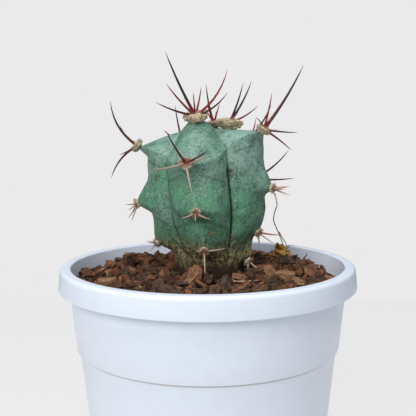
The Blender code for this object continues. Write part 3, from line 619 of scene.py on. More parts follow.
def bark_material(name, colours):
    """Composted pine bark, shredded: each flake its own brown, fibrous along its length, pale where rubbed."""
    material, add = new_material(name, Roughness=0.88)
    grain = add("Attribute", attribute_name="grain", out="Vector")
    tint = add("Attribute", attribute_name="tint", out="Fac")
    stretched = add("Mapping", grain, None, None, (0.22, 1.0, 1.0))
    fibres = speckle(add, stretched, 0.7, 0.30, 0.70, detail=4.0)
    body = lay_over(add, colours.bark_dark,
                    (add("MapRange", tint, 0.38, 0.92), 1.0, colours.bark),
                    (add("MapRange", tint, 0.84, 1.0), 1.0, colours.bark_tan),
                    (fibres, 0.85, colours.bark_dark),
                    (speckle(add, grain, 3.0, 0.35, 0.65), 0.22, colours.bark_tan))
    set_shader(material, Base_Color=body, Normal=add("Bump", 1.0, 0.25 * MM, None, fibres))
    return material


def flake_shape(shake, size):
    """A splintered flake: a box with one cut along each edge, shaken out of true and chopped at a corner."""
    bm = bmesh.new()
    bmesh.ops.create_cube(bm, size=1.0)
    bmesh.ops.subdivide_edges(bm, edges=bm.edges[:], cuts=1, use_grid_fill=True)
    taper = shake.uniform(0.45, 1.0)
    for vertex in bm.verts:
        along = vertex.co.x + 0.5
        vertex.co.y *= 1.0 - (1.0 - taper) * along
        for axis in range(3):
            vertex.co[axis] += shake.uniform(-0.13, 0.13)
            vertex.co[axis] *= size[axis]
    corner = Vector((size[0] * shake.choice((-1, 1)), size[1] * shake.choice((-1, 1)), 0.0))
    cut = bmesh.ops.bisect_plane(bm, geom=bm.verts[:] + bm.edges[:] + bm.faces[:], plane_co=0.30 * corner,
                                 plane_no=corner.normalized(), clear_outer=True)
    rim = [item for item in cut["geom_cut"] if isinstance(item, bmesh.types.BMEdge)]
    bmesh.ops.holes_fill(bm, edges=rim, sides=0)
    bmesh.ops.recalc_face_normals(bm, faces=bm.faces)
    return bm


class Heap:
    """Heights of the heaped bark on a square grid, raised by each flake that settles."""

    def __init__(self, cell):
        self.cell = cell
        self.half = math.ceil(MOUTH_RADIUS / cell) + 1
        side = 2 * self.half + 1
        self.top = np.empty((side, side))
        for row in range(side):
            for column in range(side):
                self.top[row, column] = mix_height(cell * math.hypot(row - self.half, column - self.half))

    def cells(self, points):
        return [(round(point.x / self.cell) + self.half, round(point.y / self.cell) + self.half)
                for point in points]


def settle(heap, size, turn, place):
    """Lower a flake on the heap: returns its height and the cells under it."""
    points = []
    for along in (-0.5, -0.25, 0.0, 0.25, 0.5):
        for across in (-0.4, 0.0, 0.4):
            points.append(place + turn @ Vector((along * size[0], across * size[1], 0.0)))
    cells = heap.cells(points)
    under = [heap.top[cell] for cell in cells]
    rest = 0.55 * sum(under) / len(under) + 0.45 * max(under)
    return rest + 0.35 * size[2], cells


def build_bark(sizes, colours):
    """Heap loose flakes on the mix, in a few joined pieces."""
    shake = random.Random(SEED)
    heap = Heap(HEAP_CELL)
    open_spots = []
    for node in CHIP_NODES + ["fallen_spines", "dried_flower"]:
        low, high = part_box(node)
        middle = (low + high) / 2.0
        open_spots.append((middle.x, middle.y, 0.10 * (high - low).length))
    material = bark_material("composted_pine_bark", colours)
    heaps = [bmesh.new() for _ in range(HEAP_PIECES)]
    tints = [bm.verts.layers.float.new("tint") for bm in heaps]
    grains = [bm.verts.layers.float_vector.new("grain") for bm in heaps]
    for number in range(sizes.flake_count):
        reach = sizes.flake_length * min(max(shake.lognormvariate(-0.12, 0.42), 0.35), 2.1)
        size = (reach, reach * shake.uniform(0.35, 0.80), reach * shake.uniform(0.16, 0.42))
        inner = PLUG_RADIUS + 0.25 * reach
        outer = MOUTH_RADIUS - WALL_CLEARANCE - 0.42 * reach
        radius = math.sqrt(shake.uniform(inner ** 2, outer ** 2))
        place = compass(shake.uniform(0.0, 360.0)) * radius
        place.x += STEM_X * (1.0 - radius / outer)
        lean = [math.radians(shake.gauss(0.0, FLAKE_LEAN)) for _ in range(2)]
        spin = Matrix.Rotation(shake.uniform(0.0, math.tau), 3, "Z")
        turn = spin @ Matrix.Rotation(lean[0], 3, "X") @ Matrix.Rotation(lean[1], 3, "Y")
        height, cells = settle(heap, size, spin, place)
        tint = shake.random()
        flake = flake_shape(shake, size)
        buries = any(math.hypot(place.x - x, place.y - y) < 0.45 * reach + clear for x, y, clear in open_spots)
        if buries or height > mix_height(radius) + HEAP_LIMIT:
            flake.free()
            continue
        for cell in cells:
            heap.top[cell] = max(heap.top[cell], height + 0.25 * size[2])
        place.z = height
        share = number % HEAP_PIECES
        target = heaps[share]
        start = len(target.verts)
        mesh = bpy.data.meshes.new("flake")
        flake.to_mesh(mesh)
        flake.free()
        target.from_mesh(mesh)
        bpy.data.meshes.remove(mesh)
        target.verts.ensure_lookup_table()
        offset = Vector((number * 0.013, number * 0.007, 0.0))
        for vertex in target.verts[start:]:
            vertex[tints[share]] = tint
            vertex[grains[share]] = vertex.co + offset
            vertex.co = place + turn @ vertex.co
    for number, bm in enumerate(heaps, start=1):
        finish_piece(f"bark_flakes_{number}", bm, material, smooth=False, recalc=False)


def build_chips(colours):
    """The largest chips: each keeps its CAD outline, cut finer and weathered."""
    material = bark_material("coarse_pine_bark", colours)
    for node, tint in zip(CHIP_NODES, CHIP_TINTS):
        bm = bmesh.new()
        bm.from_mesh(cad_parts[node].data)
        bmesh.ops.remove_doubles(bm, verts=bm.verts, dist=0.00001)
        bmesh.ops.subdivide_edges(bm, edges=bm.edges[:], cuts=CHIP_CUTS, use_grid_fill=True)
        points = np.array([vertex.co for vertex in bm.verts])
        centre = Vector(points.mean(axis=0))
        axes = np.linalg.svd(points - points.mean(axis=0), full_matrices=False)[2]
        along, across = Vector(axes[0]), Vector(axes[1])
        tint_layer = bm.verts.layers.float.new("tint")
        grain_layer = bm.verts.layers.float_vector.new("grain")
        for vertex in bm.verts:
            local = vertex.co - centre
            grain = Vector((local.dot(along), local.dot(across), local.dot(along.cross(across))))
            vertex[tint_layer] = tint
            vertex[grain_layer] = grain
            splinter = Vector([value * scale_for(size) for value, size in zip(grain, SPLINTER_SIZES)])
            vertex.co += local.normalized() * (SPLINTER_DEPTH * noise.fractal(splinter, 1.0, 2.0, 3))
        finish_piece(node.replace("bark_chip", "coarse_chip"), bm, material, [node], smooth=False)


# Stem

def neck_height():
    """Height where the ribs start to swell out of the round foot."""
    return MIX_TOP + NECK_RISE


def stem_top():
    """Height of the growing point."""
    return MIX_TOP + STEM_TALL


def stem_axis(height):
    """The stem's middle at a height; it leans slightly."""
    share = smooth_step((height - neck_height()) / (stem_top() - neck_height()))
    return Vector((STEM_X + STEM_LEAN * share, 0.0, height))


def swell(height):
    """How far the ribs have swelled at a height, from 0 to 1."""
    return smooth_step((height - neck_height()) / RIB_SWELL)


def tubercle_height(rib, height):
    """How far the ridge bulges at a height: a long slope above each areole and a short one below."""
    share = 0.0
    for areole, bulge in rib.areoles:
        above = (height - areole) / BULGE_ABOVE
        below = (areole - height) / BULGE_BELOW
        share = max(share, bulge * (1.0 - smooth_step(max(above, below))))
    started = smooth_step((height - neck_height() + 0.5 * NECK_RISE) / NECK_RISE)
    return TUBERCLE * share * started


def crest_radius(height):
    """Radius of a ridge between its tubercles."""
    return PLUG_RADIUS + (RIDGE_RADIUS - PLUG_RADIUS) * swell(height)


def groove_radius(height):
    """Radius of the grooves."""
    return PLUG_RADIUS + (GROOVE_RADIUS - PLUG_RADIUS) * swell(height)


def plug_point(share):
    """Radius and height on the rounded, buried foot."""
    depth = 0.5 * (MIX_TOP - STEM_FOOT)
    angle = 0.5 * math.pi * share
    return PLUG_RADIUS * math.sin(angle), STEM_FOOT + depth * (1.0 - math.cos(angle))


def side_height(rib, share):
    """Height of a share of the way from the plug to the rib's shoulder."""
    start = 0.5 * (MIX_TOP + STEM_FOOT)
    return start + (rib.shoulder() - start) * share


def crown_point(rib, share):
    """Radius and height of the ridge over the crown: up to the peak, then down to the growing point."""
    shoulder = rib.shoulder()
    start_radius = crest_radius(shoulder) + tubercle_height(rib, shoulder)
    radius = start_radius * (1.0 - share)
    if radius > rib.peak_radius:
        climb = (start_radius - radius) / (start_radius - rib.peak_radius)
        height = shoulder + (rib.peak_height - shoulder) * (1.0 - (1.0 - climb) ** CROWN_ARCH)
    else:
        height = stem_top() + (rib.peak_height - stem_top()) * smooth_step(radius / rib.peak_radius)
    return radius, height


def row_shares(row):
    """How far a row of the mesh is up the plug, up the side and over the crown."""
    plug = min(row / PLUG_ROWS, 1.0)
    side = min(max((row - PLUG_ROWS) / SIDE_ROWS, 0.0), 1.0)
    crown = max((row - PLUG_ROWS - SIDE_ROWS) / CROWN_ROWS, 0.0)
    return plug, side, crown


def ridge_at(rib, row):
    """Radius, height and bulge of a ridge at a row."""
    plug, side, crown = row_shares(row)
    if plug < 1.0:
        return (*plug_point(plug), 0.0)
    if crown > 0.0:
        return (*crown_point(rib, crown), tubercle_height(rib, rib.shoulder()) * (1.0 - crown))
    height = side_height(rib, side)
    bulge = tubercle_height(rib, height)
    return crest_radius(height) + bulge, height, bulge


def groove_at(rib, row):
    """Radius and height of a groove at a row."""
    plug, side, crown = row_shares(row)
    if plug < 1.0:
        return plug_point(plug)
    if crown > 0.0:
        shoulder = rib.shoulder()
        climb = math.sin(0.5 * math.pi * crown)
        height = shoulder + (stem_top() - CROWN_GROOVE_DROP - shoulder) * climb
        return groove_radius(shoulder) * (1.0 - crown), height
    height = side_height(rib, side)
    return groove_radius(height), height


def rib_heading(index, height):
    """Heading of a ridge at a height; whole turns are added so that headings grow round the stem."""
    rib = RIBS[index % len(RIBS)]
    share = smooth_step((height - neck_height()) / (stem_top() - neck_height()))
    heading = rib.heading_foot + (rib.heading_top - rib.heading_foot) * share
    return heading + 360.0 * (index // len(RIBS))


def stem_point(index, side, offset, row, sizes):
    """A point of the skin and its crease value; offset goes from 0 on the ridge to 1 in the groove."""
    rib = RIBS[index % len(RIBS)]
    beside = RIBS[(index + side) % len(RIBS)]
    ridge_radius, ridge_height, bulge = ridge_at(rib, row)
    groove_a = groove_at(rib, row)
    groove_b = groove_at(beside, row)
    groove_r = 0.5 * (groove_a[0] + groove_b[0])
    groove_z = 0.5 * (groove_a[1] + groove_b[1])
    crown = row_shares(row)[2]
    crowned = smooth_step(2.0 * crown)
    bulge *= 1.0 - crowned
    weight = 1.0 - offset ** (RIB_FULLNESS + (CROWN_FULLNESS - RIB_FULLNESS) * crowned)
    radius = groove_r + (ridge_radius - bulge - groove_r) * weight + bulge * (1.0 - offset) ** TUBERCLE_SPREAD
    height = groove_z + (ridge_height - groove_z) * weight
    ridge_turn = rib_heading(index, height)
    groove_turn = 0.5 * (ridge_turn + rib_heading(index + side, height))
    from_groove = radius * math.radians(abs(groove_turn - ridge_turn)) * (1.0 - offset)
    crease = 1.0 - smooth_step(from_groove / sizes.crease_width)
    crease *= smooth_step((height - MIX_TOP - 0.3 * NECK_RISE) / NECK_RISE)
    if {rib, beside} == PALE_CREASE:
        crease *= 1.0 - PALE_LOSS * smooth_step((height - MIX_TOP - CREASE_CLOSES_AT) / NECK_RISE)
    if {rib, beside} == CLOSED_CREASE:
        crease *= 1.0 - smooth_step((height - MIX_TOP - CREASE_CLOSES_AT) / NECK_RISE)
    radius -= min(sizes.crease_depth, 0.5 * radius) * crease
    heading = ridge_turn + (groove_turn - ridge_turn) * offset
    outward = compass(heading)
    place = stem_axis(height) + outward * radius
    lump = noise.fractal(place * scale_for(11.0), 1.0, 2.0, 3)
    place += outward * (sizes.skin_lump * lump * min(1.0, radius / PLUG_RADIUS))
    return place, crease


def areole_places():
    """Middles of all the areoles' wool, in the CAD's frame."""
    return np.array([sum(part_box(name), Vector()) / 2.0 for name in sorted(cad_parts)
                     if name.startswith("wool_")])


def skin_material(colours):
    """Cactus epidermis under a waxy bloom: matt blue-green, rubbed deeper green, with pale pores, healed
    marks, creases, folds and wrinkles darkened with painted shade, and a corky brown foot. The bloom,
    paler up high and on the right rib, and the lighter green low down are partly painted light."""
    material, add = new_material("waxy_cactus_skin", IOR=1.42)
    coords = add("TexCoord", out="Object")
    across, height = (add("SeparateXYZ", coords, out=axis) for axis in "XZ")
    distance, wax, folds, creases = (add("Attribute", attribute_name=name, out="Fac")
                                     for name in ("areole_distance", "wax", "fold", "crease"))
    upright = add("Mapping", coords, None, None, (1.0, 1.0, 0.35))
    growth = add("CombineXYZ", distance, add("Math", across, 0.30, operation="MULTIPLY"),
                 add("Math", height, 0.30, operation="MULTIPLY"))

    cloud = speckle(add, coords, 13.0, 0.30, 0.70, detail=5.0)
    # The bloom is partly real wax and partly painted light, paler up high and on the right rib.
    bloom = add("Math", add("Math", cloud, 0.7, -0.35, operation="MULTIPLY_ADD"), wax, operation="ADD")
    patches = speckle(add, coords, 6.0, 0.50, 0.66, detail=5.0)
    pores = speckle(add, coords, 0.9, 0.53, 0.62)
    pits = speckle(add, coords, 0.95, 0.55, 0.64)
    # Rings round each areole: wrinkles bumped in, with painted shade in their troughs.
    turns = add("Math", distance, math.tau * scale_for(1.5), operation="MULTIPLY")
    rings = add("MapRange", add("Math", turns, operation="SINE"), 0.35, 1.0)
    wrinkles = add("Math", rings, add("MapRange", distance, 0.012, 0.004), operation="MULTIPLY")
    skin = lay_over(add, colours.skin,
                    (bloom, 1.0, colours.skin_bloom),
                    # Lighter green where the bloom is thin, low down: partly painted light.
                    (add("MapRange", bloom, 0.35, -0.15), 0.80, colours.skin_fresh_and_lit),
                    (speckle(add, upright, 4.0, 0.45, 0.68, 6.0, 0.62), 0.45, colours.skin_deep),
                    (patches, 0.72, colours.skin_deep),
                    (speckle(add, growth, 1.0, 0.44, 0.64, detail=4.0), 0.30, colours.skin_bloom),
                    (pores, 0.60, colours.skin_bloom),
                    (pits, add("Math", cloud, 0.80, operation="MULTIPLY"), colours.skin_deep),
                    (wrinkles, 0.30, colours.skin_deep))
    for place, radius, code in MARKS:
        away = add("VectorMath", coords, place, operation="DISTANCE")
        ragged = add("Math", patches, -radius, away, operation="MULTIPLY_ADD")
        skin = lay_over(add, skin, (add("MapRange", ragged, radius, 0.3 * radius), 1.0, linear(code)))

    edge = add("Math", speckle(add, upright, 4.0, 0.3, 0.7, detail=5.0), -CORK_RAGGED, height,
               operation="MULTIPLY_ADD")
    cork, foot = (add("MapRange", edge, MIX_TOP + top, MIX_TOP + whole)
                  for top, whole in ((CORK_TOP, CORK_WHOLE), (CORK_WHOLE, FOOT_WHOLE)))
    corky = lay_over(add, colours.cork,
                     (speckle(add, coords, 1.5, 0.42, 0.62, detail=4.0), 1.0, colours.cork_foot),
                     (patches, 0.6, colours.skin_deep))
    # The folds and the creases are darkened here with painted shade.
    skin = lay_over(add, skin,
                    (folds, 0.55, colours.skin_deep),
                    (add("MapRange", creases, 0.30, 0.80), 1.0, colours.crease),
                    (cork, 1.0, corky),
                    (foot, 1.0, colours.cork_foot))
    height_map = 0.0
    for part, share in ((pores, 0.4), (pits, -0.8), (wrinkles, -0.7), (folds, -0.8)):
        height_map = add("Math", part, share, height_map, operation="MULTIPLY_ADD")
    set_shader(material, Base_Color=skin, Roughness=add("MapRange", cork, 0.0, 1.0, 0.48, 0.85),
               Normal=add("Bump", 1.0, 0.16 * MM, None, height_map))
    return material


def build_stem(sizes, colours):
    """A UV sphere whose columns and rows are laid along the ribs."""
    columns = 2 * HALF_RIB_STEPS * len(RIBS)
    rows = PLUG_ROWS + SIDE_ROWS + CROWN_ROWS
    bm = bmesh.new()
    bmesh.ops.create_uvsphere(bm, u_segments=columns, v_segments=rows, radius=1.0)
    creases = []
    folds = []
    bloom_and_light_shares = []
    for vertex in bm.verts:
        column = round(math.atan2(vertex.co.x, -vertex.co.y) / math.tau * columns) % columns
        row = round((math.asin(min(max(vertex.co.z, -1.0), 1.0)) / math.pi + 0.5) * rows)
        index = (column + HALF_RIB_STEPS) // (2 * HALF_RIB_STEPS)
        step = column - index * 2 * HALF_RIB_STEPS
        offset = abs(step) / HALF_RIB_STEPS
        vertex.co, crease = stem_point(index, -1 if step < 0 else 1, offset, row, sizes)
        creases.append(crease)
        folds.append(fold_value(RIBS[index % len(RIBS)], vertex.co, offset))
        bloom_and_light_shares.append(bloom_and_light_value(index, -1 if step < 0 else 1, offset, vertex.co.z))
    places = np.array([vertex.co for vertex in bm.verts])
    stem = finish_piece("cactus_stem", bm, skin_material(colours), ["stem"])
    distances = np.min(np.linalg.norm(places[:, None, :] - areole_places()[None, :, :], axis=2), axis=1)
    set_value(stem.data, "areole_distance", distances)
    set_value(stem.data, "crease", creases)
    set_value(stem.data, "fold", folds)
    set_value(stem.data, "wax", bloom_and_light_shares)


def bloom_and_light_value(index, side, offset, height):
    """How much pale bloom the skin shows, partly painted light: its rib's share, less lower down and beside
    the groove.
    """
    rib = RIBS[index % len(RIBS)]
    beside = RIBS[(index + side) % len(RIBS)]
    share = rib.wax + (0.5 * (rib.wax + beside.wax) - rib.wax) * smooth_step((offset - 0.93) / 0.07)
    worn = smooth_step((height - MIX_TOP - BLOOM_FADES_BELOW) / (BLOOM_WHOLE_ABOVE - BLOOM_FADES_BELOW))
    return share * (0.15 + 0.85 * worn)


def fold_value(rib, place, offset):
    """Closeness to the line that runs down and back from under each areole to the groove, where painted shade
    darkens the skin.
    """
    value = 0.0
    for areole, _ in rib.areoles:
        drop = areole - FOLD_DROP - FOLD_SLOPE * offset - place.z
        value = max(value, math.exp(-(drop / FOLD_WIDTH) ** 2))
    return value * smooth_step((offset - 0.10) / 0.30) * (1.0 - smooth_step((offset - 0.75) / 0.25))


# Wool and spines

class Areole:
    """Where an areole's wool lies, read from its CAD ring: its middle, its axes and its half sizes."""

    def __init__(self, name):
        self.name = name
        node = "wool_" + name
        self.middle = sum(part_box(node), Vector()) / 2.0
        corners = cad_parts[node].data.vertices
        points = np.array([vertex.co for vertex in corners]) - np.array(self.middle)
        normal = Vector(np.linalg.svd(points, full_matrices=False)[2][2])
        outward = self.middle - Vector((STEM_X, 0.0, stem_top() - 2.0 * RIDGE_RADIUS))
        self.normal = normal if normal.dot(outward) > 0.0 else -normal
        up = UP
        if name == "apex":
            up = Vector((0.0, 1.0, 0.0))
        elif self.normal.z > 0.7:
            up = Vector((-self.middle.x, -self.middle.y, 0.0))
        self.across = up.cross(self.normal).normalized()
        self.along = self.normal.cross(self.across)
        self.half_width = np.abs(points @ np.array(self.across)).max()
        self.half_length = np.abs(points @ np.array(self.along)).max()
        self.half_thickness = np.abs(points @ np.array(self.normal)).max()
        self.sink = 0.0
        if name not in NEWEST_AREOLES:
            self.sink = WOOL_SINK
            self.half_width *= WOOL_SHRINK
            self.half_length *= WOOL_SHRINK

    def place(self, across, along, out):
        return self.middle + self.across * across + self.along * along + self.normal * out


def wool_material(name, outer, shade, core):
    """Areole wool, felted plant hair: matt and crumbly, pale outside and stained in the middle."""
    material, add = new_material(name, Roughness=0.95, Sheen_Weight=0.25, Sheen_Roughness=0.6)
    felt = speckle(add, add("TexCoord", out="Object"), 0.8, 0.30, 0.70, detail=4.0)
    stain = add("MapRange", add("Attribute", attribute_name="reach", out="Fac"), 0.95, 0.50)
    set_shader(material, Base_Color=lay_over(add, shade, (felt, 1.0, outer), (stain, 1.0, core)),
               Normal=add("Bump", 1.0, 0.4 * MM, None, felt))
    return material


def make_wool(areole, material, sizes):
    """A lumpy cushion with a dimple for the spines, and short curled fibres all over it."""
    shake = random.Random(areole.name)
    bm = bmesh.new()
    reach_layer = bm.verts.layers.float.new("reach")
    bmesh.ops.create_uvsphere(bm, u_segments=32, v_segments=16, radius=1.0)
    for vertex in bm.verts:
        local = vertex.co.copy()
        rim = math.hypot(local.x, local.y)
        dimple = WOOL_DIMPLE * (1.0 - smooth_step(rim / 0.6)) if local.z > 0.0 else 0.0
        out = (local.z - dimple) * areole.half_thickness - areole.sink
        if local.z < 0.0:
            out += WOOL_BURY * local.z
        lump = 1.0 + WOOL_LUMP * noise.fractal(areole.middle * scale_for(1.0) + local * 2.4, 1.0, 2.0, 3)
        vertex.co = areole.place(local.x * areole.half_width * lump, local.y * areole.half_length * lump,
                                 out * lump)
        vertex[reach_layer] = rim
    for _ in range(sizes.fibre_count):
        heading = shake.uniform(0.0, math.tau)
        rim = math.sqrt(shake.random())
        local = Vector((math.cos(heading) * rim, math.sin(heading) * rim, math.sqrt(1.0 - rim * rim)))
        root = areole.place(0.95 * local.x * areole.half_width, 0.95 * local.y * areole.half_length,
                            0.7 * local.z * areole.half_thickness - areole.sink)
        outward = areole.across * local.x + areole.along * local.y + areole.normal * (0.35 + local.z)
        stray = Vector([shake.gauss(0.0, FIBRE_STRAY) for _ in range(3)])
        aim = (outward.normalized() + stray).normalized()
        reach = sizes.fibre_length * shake.uniform(0.35, 1.0)
        path = sagging_path(root, aim, reach, shake.uniform(-0.25, 0.30), 3)
        width = 0.5 * sizes.fibre_width * shake.uniform(0.5, 1.0)
        rings = grow(bm, path, [width, width, 0.8 * width, 0.2 * width], 3)
        for ring in rings:
            for vertex in ring:
                vertex[reach_layer] = rim
    finish_piece("felt_" + areole.name, bm, material, ["wool_" + areole.name])


def build_wool(sizes, colours):
    """Felt every areole: the newest in clean wool, the older ones stained in the middle."""
    new_wool = wool_material("new_areole_wool", colours.wool_new, colours.wool_shade, colours.wool_new)
    old_wool = wool_material("old_areole_wool", colours.wool_old, colours.wool_shade, colours.wool_core)
    for name in SPINES:
        make_wool(Areole(name), new_wool if name in NEWEST_AREOLES else old_wool, sizes)


def young_spine_material(colours):
    """Young spine, horn: glossy, dark red-brown, redder at the root and greying at the very tip."""
    material, add = new_material("dark_spine_horn", Roughness=0.42, IOR=1.45)
    streaks = speckle(add, add("TexCoord", out="Object"), 1.2, 0.35, 0.70, detail=4.0)
    along, red = (add("Attribute", attribute_name=name, out="Fac") for name in ("along", "redness"))
    body = lay_over(add, colours.spine_dark,
                    (red, 0.85, colours.spine_red),
                    (add("MapRange", along, 0.30, 0.0), 0.45, colours.spine_red),
                    (streaks, 0.14, colours.spine_grey),
                    (add("MapRange", red, 0.0, -1.0), 1.0, colours.spine_old),
                    (add("MapRange", along, 0.80, 1.0), 0.4, colours.spine_grey))
    set_shader(material, Base_Color=body, Normal=add("Bump", 1.0, 0.05 * MM, None, streaks))
    return material


def old_spine_material(colours):
    """Old spine, weathered horn: dry, pale tan and chalky, pinker where it is less weathered."""
    material, add = new_material("weathered_spine_horn", Roughness=0.62, IOR=1.50)
    streaks = speckle(add, add("TexCoord", out="Object"), 1.0, 0.35, 0.65, detail=4.0)
    red = add("Attribute", attribute_name="redness", out="Fac")
    set_shader(material, Base_Color=lay_over(add, colours.spine_old, (red, 1.0, colours.spine_red),
                                             (streaks, 0.35, colours.spine_grey)),
               Normal=add("Bump", 1.0, 0.05 * MM, None, streaks))
    return material


def spine_radii(root_radius, sections):
    """A bulbous root, then a long taper to a fine point."""
    radii = [root_radius * (SPINE_TIP + (1.0 - SPINE_TIP) * (1.0 - section / sections) ** SPINE_TAPER)
             for section in range(sections + 1)]
    radii[0] *= SPINE_BULB
    return radii


def make_spines(bm, root, spines, normal, sizes):
    """Grow each spine from the root, never flatter to the wool than the least rise."""
    layers = bm.verts.layers.float
    along_layer = layers.get("along") or layers.new("along")
    red_layer = layers.get("redness") or layers.new("redness")
    for reach, heading, rise, sag, red in spines:
        direction = compass(heading, rise)
        lack = LEAST_RISE - direction.dot(normal)
        if lack > 0.0:
            direction = (direction + normal * lack).normalized()
        radius = sizes.spine_root + SPINE_THICKENING * reach
        start = root + direction * (0.4 * radius) - normal * (0.5 * radius)
        rings = grow(bm, sagging_path(start, direction, reach, sag, SPINE_SECTIONS),
                     spine_radii(radius, SPINE_SECTIONS), SPINE_SIDES)
        for number, ring in enumerate(rings):
            for vertex in ring:
                vertex[along_layer] = number / SPINE_SECTIONS
                vertex[red_layer] = red


def build_spines(sizes, colours):
    """Grow every areole's spines: dark on the young areoles, weathered on the old."""
    young = young_spine_material(colours)
    old = old_spine_material(colours)
    for name, spines in SPINES.items():
        areole = Areole(name)
        is_young = name in YOUNG_AREOLES
        bm = bmesh.new()
        root = areole.place(0.0, 0.0, 0.2 * areole.half_thickness - areole.sink)
        make_spines(bm, root, spines, areole.normal, sizes)
        finish_piece("thorns_" + name, bm, young if is_young else old,
                     ["spines_" + name])


# Dry remains on the mix

def straw_material(name, tone):
    """Dried plant tissue, papery: matt and mottled, darker in its crumples."""
    material, add = new_material(name, Roughness=0.80)
    mottle = speckle(add, add("TexCoord", out="Object"), 1.8, 0.30, 0.70, detail=4.0)
    shade = [channel * 0.45 for channel in tone[:3]] + [1.0]
    set_shader(material, Base_Color=lay_over(add, shade, (mottle, 1.0, tone)),
               Normal=add("Bump", 1.0, 0.2 * MM, None, mottle))
    return material


def build_flower(colours):
    """A dried flower: a crumpled cup with curled petals, and pale rootlets trailing from it."""
    shake = random.Random(SEED)
    low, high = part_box("dried_flower")
    middle = (low + high) / 2.0
    middle.z = low.z + FLOWER_LIFT
    bm = bmesh.new()
    bmesh.ops.create_icosphere(bm, subdivisions=3, radius=1.0)
    for vertex in bm.verts:
        crumple = 1.0 + 0.35 * noise.fractal(vertex.co * 2.2, 1.0, 2.0, 3)
        vertex.co = middle + vertex.co * Vector(FLOWER_HALF_SIZES) * crumple
    for number in range(PETAL_COUNT):
        heading = 360.0 * number / PETAL_COUNT + shake.uniform(-20.0, 20.0)
        reach = shake.uniform(0.0032, 0.0058)
        direction = compass(heading, shake.uniform(0.0, 85.0))
        start = middle + direction * 0.0022
        path = sagging_path(start, direction, reach, shake.uniform(-0.15, 0.45), len(PETAL_RADII) - 1)
        rings = grow(bm, path, PETAL_RADII, 8)
        flat = direction.cross(UP).normalized().cross(direction)
        for ring in rings:
            centre = sum((vertex.co for vertex in ring), Vector()) / len(ring)
            for vertex in ring:
                vertex.co -= flat * ((vertex.co - centre).dot(flat) * PETAL_FLATNESS)
    finish_piece("dry_petals", bm, straw_material("dried_petal", colours.petal), ["dried_flower"])

    bm = bmesh.new()
    for number in range(ROOTLET_COUNT):
        heading = 360.0 * number / ROOTLET_COUNT + shake.uniform(-10.0, 10.0)
        reach = shake.uniform(0.005, 0.0115)
        direction = compass(heading, shake.uniform(-8.0, 32.0))
        start = middle + direction * 0.0020
        path = sagging_path(start, direction, reach, shake.uniform(-0.20, 0.12), len(ROOTLET_RADII) - 1)
        grow(bm, path, ROOTLET_RADII, 5)
    finish_piece("dry_rootlets", bm, straw_material("dried_rootlet", colours.straw))


def smooth_route(points, radius, height):
    """A smooth route through (heading, distance, height) points counted from this radius and height."""
    places = [compass(heading) * (radius + distance) + UP * (height + rise)
              for heading, distance, rise in points]
    route = []
    for index, (start, end) in enumerate(zip(places, places[1:])):
        before = places[max(index - 1, 0)]
        after = places[min(index + 2, len(places) - 1)]
        bend = 2.0 * before - 5.0 * start + 4.0 * end - after
        twist = 3.0 * start - before - 3.0 * end + after
        for step in range(ROUTE_STEPS):
            share = step / ROUTE_STEPS
            route.append(0.5 * (2.0 * start + (end - before) * share + bend * share ** 2 + twist * share ** 3))
    return route + [places[-1]]


def build_threads(colours):
    """Trail the dry threads down from the right rib."""
    material = straw_material("dry_thread", colours.straw)
    for name, points in THREADS.items():
        route = smooth_route(points, RIDGE_RADIUS + TUBERCLE, MIX_TOP)
        bm = bmesh.new()
        grow(bm, route, [THREAD_ROOT - THREAD_LOSS * index / len(route) for index in range(len(route))], 6)
        finish_piece(name.replace("dry", "trailing"), bm, material, [name])


def build_fallen(sizes, colours):
    """Lay the shed group of spines on the mix and stand the hooked one by the wall."""
    low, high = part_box("fallen_spines")
    root = Vector((low.x + 0.0065, (low.y + high.y) / 2.0, low.z + 0.0018))
    bm = bmesh.new()
    bmesh.ops.create_icosphere(bm, subdivisions=2, radius=0.0012, matrix=Matrix.Translation(root))
    make_spines(bm, root, FALLEN_SPINES, UP, sizes)
    finish_piece("shed_spines", bm, old_spine_material(colours), ["fallen_spines"])

    edge = MIX_TOP - MOUND_RISE
    route = smooth_route(HOOKED_SPINE, inner_radius(edge), edge)
    bm = bmesh.new()
    grow(bm, route, spine_radii(HOOKED_ROOT, len(route) - 1), SPINE_SIDES)
    finish_piece("hooked_thorn", bm, young_spine_material(colours), ["hooked_spine"])


# Stage

def add_light(name, place, size, power, tint):
    """A softbox aimed at the middle of the plant."""
    light = bpy.data.lights.new(name, "AREA")
    light.size = size
    light.energy = power
    light.color = linear(tint)[:3]
    lamp = bpy.data.objects.new(name, light)
    bpy.context.scene.collection.objects.link(lamp)
    lamp.location = place
    aim = Vector(LIGHTS_AIM) - Vector(place)
    lamp.rotation_euler = aim.to_track_quat("-Z", "Y").to_euler()


def floor_material(colours):
    """Opal acrylic, cast and lit from below: an even pale glow that hides the edge of the table."""
    return new_material("lit_opal_acrylic", Roughness=0.9, Base_Color=colours.floor, Specular_IOR_Level=0.1,
                        Emission_Color=colours.backdrop, Emission_Strength=FLOOR_GLOW)[0]


